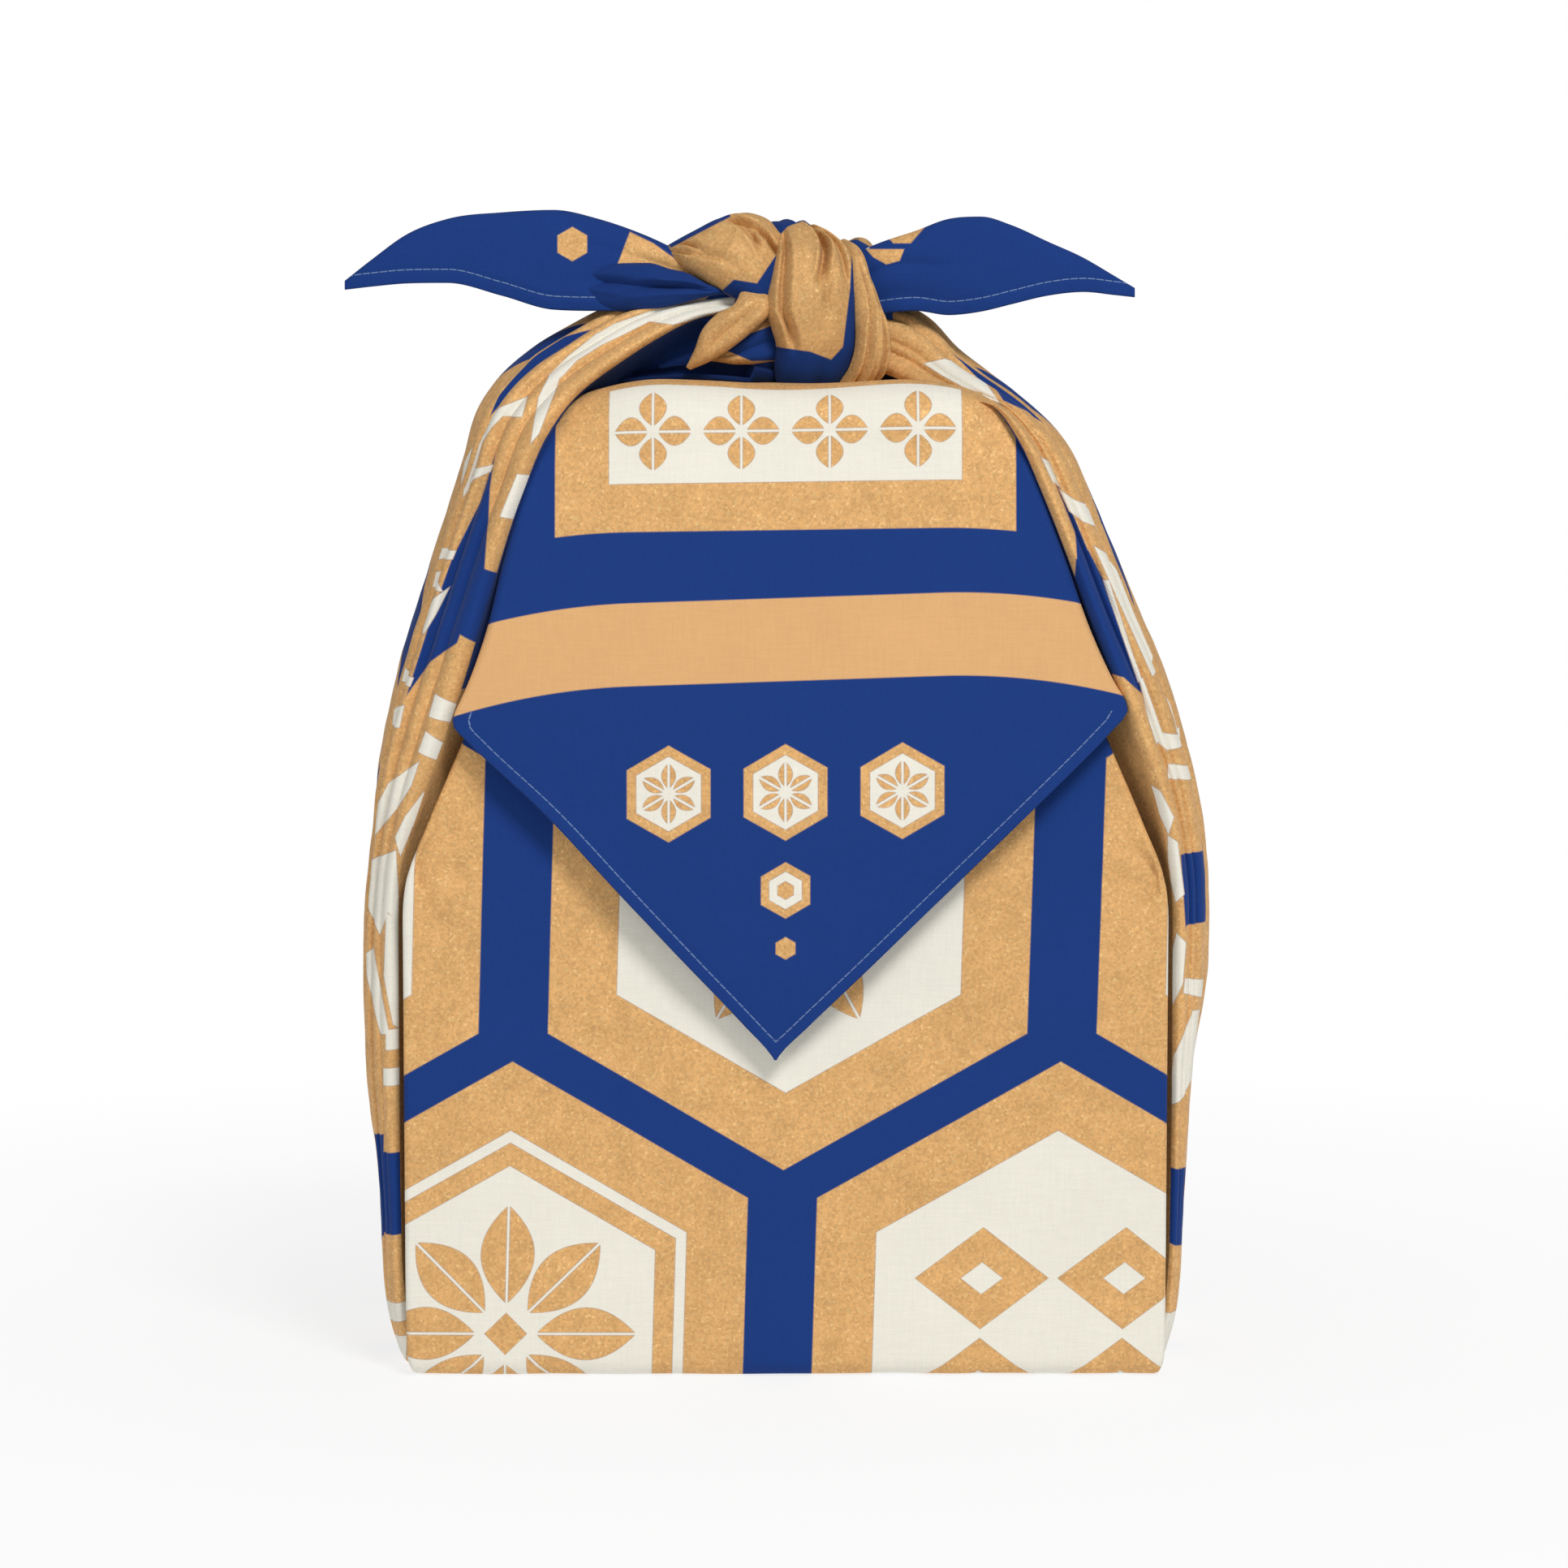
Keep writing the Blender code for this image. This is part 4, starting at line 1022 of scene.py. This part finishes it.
# The folds with their cloth, the rows of their two edges, and their grooves.
KNOT_FOLDS = (
    ("left_root", shaded_knot_navy, (
        (-82, -9, 355, -82, -9, 360, 0.5), (-70, -11.5, 352.4, -70, -10.5, 363.5, 2.6),
        (-62, -13, 351.1, -62, -12, 365, 4), (-54, -14, 350, -54.6, -13.5, 366, 5.2),
        (-46.1, -15, 350.3, -45.4, -15, 366.1, 6), (-38.1, -15, 351.8, -38.7, -15, 364.3, 5.5),
        (-30.7, -15, 353.6, -31.9, -15, 362.5, 4.5), (-24.6, -15, 355.2, -25.8, -15, 359.1, 3),
        (-19.1, -13, 355.9, -19.7, -13, 356.7, 1),
    ), (
        (0.45, -0.2, 0.15, 0.95, 1.3, 0.18), (-0.5, 0.3, 0.4, 0.95, 0.9, 0.15),
    )),
    ("left_lobe", shaded_lobe_cotton, (
        (-41.5, -7, 369.4, -41.8, -4, 370.2, 0.8), (-36.9, -11, 366.5, -35.2, -5, 371.5, 4.5),
        (-32, -13, 363.2, -27.2, -4, 375.8, 8), (-26.5, -14, 359.8, -19.2, -3, 380.3, 10.5),
        (-21.2, -15, 356.8, -13.1, -2, 381, 12), (-16, -16, 353.7, -8.8, -2, 380.1, 12),
        (-10.5, -17, 350.9, -5.1, -3, 378.6, 11), (-6.3, -16, 349.4, -1.7, -6, 374.9, 8),
        (-1.6, -12, 349.3, 2.1, -8, 370, 4),
    ), (
        (1.6, -0.4, 0.38, 0.8, 2.3, 0.1), (0.86, 0.3, 0.5, 0.97, 2.3, 0.08),
        (0.22, -1.5, 0.1, 0.45, 1.3, 0.1), (-0.1, -0.9, 0.38, 0.66, 0.9, 0.1),
        (-0.7, -0.35, 0.05, 0.55, 1, 0.08),
    )),
    ("side_strip", shaded_knot_gold, (
        (17.7, -5, 372.8, 20.2, -3, 371.6, 2), (21, -15, 368.2, 23.5, -9, 367.6, 3.5),
        (22.4, -20, 359.7, 25.8, -13, 359.1, 4.6), (23.2, -22, 351.2, 28.8, -16, 348.1, 6.6),
        (23.2, -23, 343.3, 32.8, -18, 341.3, 8), (22.6, -23, 336.6, 33.4, -18, 335.2, 8),
        (20.8, -22, 331.1, 30.6, -17, 330.3, 7), (17.7, -19, 326.4, 24.4, -15, 326.3, 4.5),
        (14.7, -13, 324.6, 19, -10, 324.6, 2),
    ), (
        (-0.55, -0.6, 0.15, 0.95, 1.2, 0.12), (0.1, 0.5, 0.4, 0.95, 1.2, 0.15),
    )),
    ("front_loop", shaded_loop_cotton, (
        (0.5, 1, 372.5, 6.5, 1, 373, 2), (-0.6, -5, 373.6, 8.6, -5, 374.4, 4),
        (-2.1, -10, 372.6, 13, -8, 373.4, 7), (-3.5, -15, 367.6, 21.3, -11, 368.2, 10),
        (-5.3, -18, 359.8, 22.6, -13, 359.7, 12), (-6.7, -20, 351.3, 23.3, -14, 351.2, 12.5),
        (-4.7, -20, 344.6, 23.6, -14, 344.5, 12), (-3.2, -19, 338.5, 23.5, -14, 339, 11.5),
        (-3.8, -18, 332.4, 21.9, -14, 332.9, 10), (-3.2, -14, 327.4, 18.9, -12, 327.3, 7),
        (-0.8, -6, 324.7, 17.1, -6, 324.7, 4),
    ), (
        (0.65, -0.75, 0.06, 0.5, 2.8, 0.08), (-0.85, -0.6, 0.12, 0.76, 2.4, 0.07),
        (0.45, 1.1, 0.1, 0.5, 1.8, 0.08), (0.05, 0.4, 0.2, 0.62, 1.1, 0.09),
        (0.3, 0.05, 0.05, 0.36, 1.6, 0.08), (-0.3, 0.2, 0.72, 0.98, 0.7, 0.15),
    )),
    # The lower roll is navy darkened by the hollow's painted shade.
    ("lower_roll", shaded_hollow_navy, (
        (-66, -14, 325, -66, -11, 326.5, 0.8), (-48, -16, 327, -48, -12, 329.5, 2.2),
        (-30, -18.5, 328, -30, -13, 332, 3.8), (-18.5, -21, 327.3, -19.1, -14, 332.9, 6.5),
        (-9.3, -18, 326.3, -9.3, -13, 334.1, 5.5), (-2.2, -13, 325.7, -2.2, -9, 335.9, 3),
        (6, -9, 324.9, 6, -5, 334, 1),
    ), (
        (0.2, -0.2, 0.05, 0.95, 1.1, 0.2),
    )),
    ("leaf_fold", shaded_knot_gold, (
        (-15, -19, 356.3, -2.3, -19, 352.8, 3), (-17, -22, 352.4, -5.3, -22, 349, 4),
        (-22.6, -23, 349.4, -10.9, -23, 343.6, 4.5), (-27.5, -23, 344.2, -17.4, -23, 338.4, 4),
        (-30.2, -23, 337.4, -24, -23, 334.2, 3), (-32.8, -22, 332.1, -31.3, -22, 331, 1),
    ), (
        (0.2, -0.1, 0.05, 0.75, 0.7, 0.25),
    )),
    ("second_fold", shaded_second_cotton, (
        (3, -10, 333.5, 1, -10, 350, 2), (-3.8, -15, 333.2, -6.9, -14, 349.4, 4.5),
        (-9.9, -18, 332.6, -12.4, -17, 343.9, 4.5), (-16, -18, 332.6, -17.9, -17, 338.7, 3),
        (-22.2, -17, 333.4, -22.2, -16, 336.3, 1.5), (-27.1, -14, 334.1, -26.5, -14, 335, 0.6),
    ), (
        (-0.2, 0.1, 0.1, 0.8, 0.8, 0.25),
    )),
    ("right_root", shaded_knot_navy, (
        (20.8, -3, 372.2, 24.5, 0, 372.2, 2), (22.2, -7, 368.8, 29.4, -1, 367.6, 4),
        (25.6, -9, 359.1, 33.4, -2, 359.6, 5), (29.3, -9, 349.3, 35.2, -3, 352.3, 5),
        (32.4, -8, 343.8, 34.9, -4, 345.5, 3.5), (33.4, -6, 337, 35.6, -4, 336.9, 2),
    ), (
        (0, 0.2, 0.1, 0.85, 1.1, 0.2),
    )),
    # The left tuck is navy darkened by the hollow's painted shade.
    ("left_tuck", shaded_hollow_navy, (
        (-66, -24, 324.6, -68, -20, 327, 1), (-57.3, -16, 323.4, -59.9, -12, 331.3, 2),
        (-48.9, -12, 322.8, -51.6, -5, 341, 2), (-39.2, -9, 322.6, -41.3, -2, 350, 2.5),
        (-29.5, -7, 322.6, -29.6, -1, 356, 2.5), (-18.5, -5, 322.6, -18.6, 0, 358, 2.5),
        (8, -4, 322.6, 8, 0, 350, 2),
    ), (
        (0.3, -0.2, 0.2, 0.95, 2.2, 0.12), (-0.4, 0.3, 0.1, 0.9, 1.8, 0.12),
    )),
    ("back_lobe", shaded_knot_gold, (
        (17, -5, 352, 17, -7, 366, 2), (24, 3, 351, 25, -1, 373, 5),
        (23, 11, 347, 24, 7, 374.5, 8), (12, 15, 340, 13, 11, 369, 10),
        (0, 15, 337, 1, 12, 364, 9), (-10, 14, 338, -9, 12, 360, 6),
    ), (
        (0.5, -0.1, 0.15, 0.9, 2.2, 0.1), (-0.4, 0.3, 0.2, 0.95, 1.8, 0.1),
        (-0.1, 0.6, 0.5, 0.98, 1.6, 0.1),
    )),
    ("back_loop", shaded_knot_navy, (
        (-2.5, -9, 371.5, 8.5, -9, 371.5, 2), (-6.5, -3, 375, 10.5, -3, 375, 4.5),
        (-13, 5, 373.5, 9, 5, 374, 6), (-21, 14, 366, 4, 14, 368, 9),
        (-25, 18, 352, 3, 18, 352, 11), (-24, 17, 338, 3, 17, 338, 9),
        (-21, 8, 328, 3, 8, 328, 5),
    ), (
        (0.4, -0.1, 0.05, 0.6, 2.2, 0.1), (-0.5, -0.2, 0.2, 0.8, 2, 0.1),
        (0, 0.5, 0.35, 0.95, 1.6, 0.1),
    )),
)
for seed, (name, material, rows, grooves) in enumerate(KNOT_FOLDS):
    knot_piece, fold_grid = knot_fold(name, rows, grooves, seed + 1.0)
    declare_cloth(knot_piece, material)

turns = [2.0 * math.pi * k / HEART_ACROSS for k in range(HEART_ACROSS + 1)]
heart_grid = [
    [Vector((row.x, row.half_depth * math.cos(a),
             HEART_HEIGHT + row.half_height * math.sin(a))) for a in turns]
    for row in drawn_out(HEART, SIDE_SPACING, places=1)]
knot_heart = lay_cloth("knot_heart", heart_grid, KNOT_CENTRE, cloth=lambda r, c, _: (c, r))
declare_cloth(knot_heart, shaded_knot_navy)

# The ears: the two ends of the knot, each a hemmed corner of the square folded double
# along the top and open below, with creases running out from the knot.
EarRow = namedtuple("EarRow", "x y top bottom spread")
LEFT_EAR = table(EarRow, (
    (-146.6, -8, 360.2, 357.9, 1.2), (-137, -9, 367.6, 359, 3), (-126, -9.5, 375.4, 360, 4.4),
    (-112, -9.5, 380.7, 360.2, 5.6), (-94, -9, 382.8, 356, 6.8), (-77, -8.5, 383.6, 351.4, 7.8),
    (-62, -8, 380.6, 351, 8), (-47, -7, 375.4, 351, 7.6), (-33, -6, 369, 349, 7.6),
    (-16, -4, 362, 344, 7.6),
))
RIGHT_EAR = table(EarRow, (
    (116.2, -8, 357.8, 355.4, 1.2), (109, -9, 362, 356.2, 2.6), (99, -9.5, 367.8, 357.2, 3.8),
    (87, -9.5, 373.2, 356, 5), (75, -9, 378.6, 353.2, 6.4), (65, -8.5, 381.4, 350.8, 7.4),
    (54, -8, 380.6, 349.6, 7.8), (43, -7, 376.6, 351, 7.6), (32, -6, 373, 350, 7.6),
    (16, -4, 366, 346, 7.6),
))
EAR_SPACING = 1.4
EAR_ACROSS = 76
EAR_FULLNESS = 0.7        # 1 is an oval fold, less has straighter sides
EAR_HEM = 0.8             # radius of the turned hem
EAR_UNDER = 3.6           # how far the hem is turned up inside
EAR_CREASE = 1.8          # depth of the creases that fan out from the knot
EAR_RAYS = 7.0            # how close these are, and closer towards the tip
EAR_RAYS_GAIN = 3.0
EAR_BACK = 400.0          # how far off the print lies for the half behind


def folded_ear(name, rows, seed):
    """One ear, from its tip to its root in the knot."""
    dense = drawn_out(rows, EAR_SPACING, places=1)
    root = dense[-1].x
    tip = dense[0].x
    grid = []
    inward = []
    for row in dense:
        out = (row.x - root) / (tip - root)
        points = []
        for k in range(EAR_ACROSS + 1):
            angle = math.pi * k / EAR_ACROSS
            width = row.spread * signed_power(math.cos(angle), EAR_FULLNESS)
            rise = (row.top - row.bottom) * math.sin(angle) ** EAR_FULLNESS
            depth = math.cos(angle)
            # Creases fan out from the knot and fade towards the tip.
            level = rise / max(row.top - row.bottom, 1.0)
            ray = level * (EAR_RAYS + EAR_RAYS_GAIN * out)
            ray += 0.8 * slack(Vector((row.x, seed, 0.0)), 25.0) + seed
            fan = abs(math.sin(ray)) ** 0.7 - 0.6
            crease = (1.0 - soft_step(out * 1.7)) * EAR_CREASE * fan
            spot = Vector((row.x, 20.0 * depth, row.bottom + rise))
            wave = 1.1 * slack(spot, 24.0, seed) + 0.4 * slack(spot, 8.0, seed)
            point = Vector((row.x, row.y - width, row.bottom + rise))
            point.y -= (crease + wave) * signed_power(depth, 0.5) * min(1.0, row.spread / 5.0)
            points.append(point)
        edge = [min(a, b) for a, b in zip(lengths(points), lengths(points[::-1])[::-1])]
        for end in (0, -1):
            turned_in = EAR_HEM if points[end].y < row.y else -EAR_HEM
            under = []
            for k in range(1, TURN_STEPS + 1):
                angle = math.pi * k / TURN_STEPS
                under.append(points[end] + Vector((
                    0.0, turned_in * (1.0 - math.cos(angle)), -EAR_HEM * math.sin(angle))))
            height = min(EAR_UNDER, 0.6 * (row.top - row.bottom))
            under.append(under[-1] + Vector((0.0, 0.0, height)))
            points = extended(points, under, end)
            edge = extended(edge, [-EAR_HEM * k for k in range(1, len(under) + 1)], end)
        grid.append(points)
        inward.append(edge)

    def ear_place(r, c, _):
        """The print is placed as it shows from the front, and elsewhere for the back."""
        point = grid[r][c]
        behind = EAR_BACK if c > len(grid[r]) // 2 else 0.0
        return point.x, point.z + behind

    def ear_hem(r, c, _):
        return grid[r][c].x, inward[r][c]

    centre = Vector(((root + tip) / 2.0, -8.5, 366.0))
    return lay_cloth(name, grid, centre, cloth=ear_place, hem=ear_hem), grid


def left_ear_print(u, v):
    """Navy with a small gold hexagon, and a gold patch that runs into the knot."""
    patch = patched(u, v, (
        (-56.0, 364.0, -36.0, 356.0, -28.0, 361.0, -44.0, 372.4, -51.5, 376.0),))
    return gold_alone(hexagon_reach(u + 70.6, v - 372.3).below(4.9).most(patch))


def right_ear_print(u, v):
    """Navy with gold patches and a white speck at the knot."""
    gold = patched(u, v, (
        (35.9, 372.8, 41.4, 372.8, 46.5, 378.5, 33.0, 378.0, 34.2, 374.6),
        (27.3, 370.4, 29.2, 368.2, 33.5, 365.8, 37.7, 367.0, 39.0, 370.4),
        (19.4, 372.6, 21.3, 370.6, 25.6, 373.2, 25.0, 376.0)))
    white = patched(u, v, ((25.6, 371.0, 27.6, 371.0, 27.4, 372.6, 25.5, 372.6),))
    return gold * white.inverse(), white, u * 0.0


for name, rows, design, seed in (("left_ear", LEFT_EAR, left_ear_print, 1.0),
                                 ("right_ear", RIGHT_EAR, right_ear_print, 2.0)):
    ear, ear_grid = folded_ear(name, rows, seed)
    ear_cotton = printed_cotton(name + "_print", design, hemmed=True)
    declare_cloth(ear, ear_cotton)

# Studio: a plain pale floor that fades into a white surround, a broad soft light from
# above the viewer and a weaker one from the left.
FLOOR_REACH = 3.0
FADE_FROM = 0.36          # distance from the wrap where the floor fades, in metres
FADE_OVER = 0.5
bpy.ops.object.select_all(action="DESELECT")
bpy.ops.mesh.primitive_circle_add(
    vertices=96, radius=FLOOR_REACH, fill_type="NGON", location=(0.0, 0.0, 0.0))
floor = bpy.context.object
floor.name = "floor"
floor_paper = bpy.data.materials.new("floor_paper")
floor_paper.use_nodes = True
floor_tree = floor_paper.node_tree
floor_shader = floor_tree.nodes["Principled BSDF"]
feed(floor_tree, floor_shader, {"Base Color": (0.86, 0.86, 0.86, 1.0), "Roughness": 0.9})
glow = add_node(floor_tree, "Emission", {"Strength": 1.0})
distance = Tone(floor_tree, add_node(
    floor_tree, "VectorMath", {0: add_node(floor_tree, "TexCoord", {}, "Object")}, "Value",
    operation="LENGTH"))
fade = distance.above(FADE_FROM, FADE_OVER) * 0.20 + 0.80
blend = add_node(floor_tree, "MixShader", {0: fade, 1: floor_shader.outputs[0], 2: glow})
feed(floor_tree, floor_tree.nodes["Material Output"], {"Surface": blend})
floor.data.materials.append(floor_paper)

world = bpy.data.worlds.new("surround")
bpy.context.scene.world = world
world.use_nodes = True
surround = world.node_tree.nodes["Background"]
sky = world.node_tree
camera_ray = Tone(sky, add_node(sky, "LightPath", {}, "Is Camera Ray"))
feed(sky, surround, {"Color": (1.0, 1.0, 1.0, 1.0), "Strength": camera_ray * 0.72 + 0.28})

Light = namedtuple("Light", "name place aim width power")
LIGHTS = (
    Light("key", (1.0, -2.3, 2.9), (0.0, 0.0, 0.2), 1.1, 90.0),
    Light("side", (-1.7, -2.2, 0.7), (0.0, 0.0, 0.2), 1.2, 8.0),
)
for light in LIGHTS:
    bpy.ops.object.light_add(type="AREA", location=light.place)
    lamp = bpy.context.object
    lamp.name = light.name
    lamp.data.shape = "DISK"
    lamp.data.size = light.width
    lamp.data.energy = light.power
    aim = Vector(light.aim) - Vector(light.place)
    lamp.rotation_euler = aim.to_track_quat("-Z", "Y").to_euler()

bpy.context.view_layer.update()
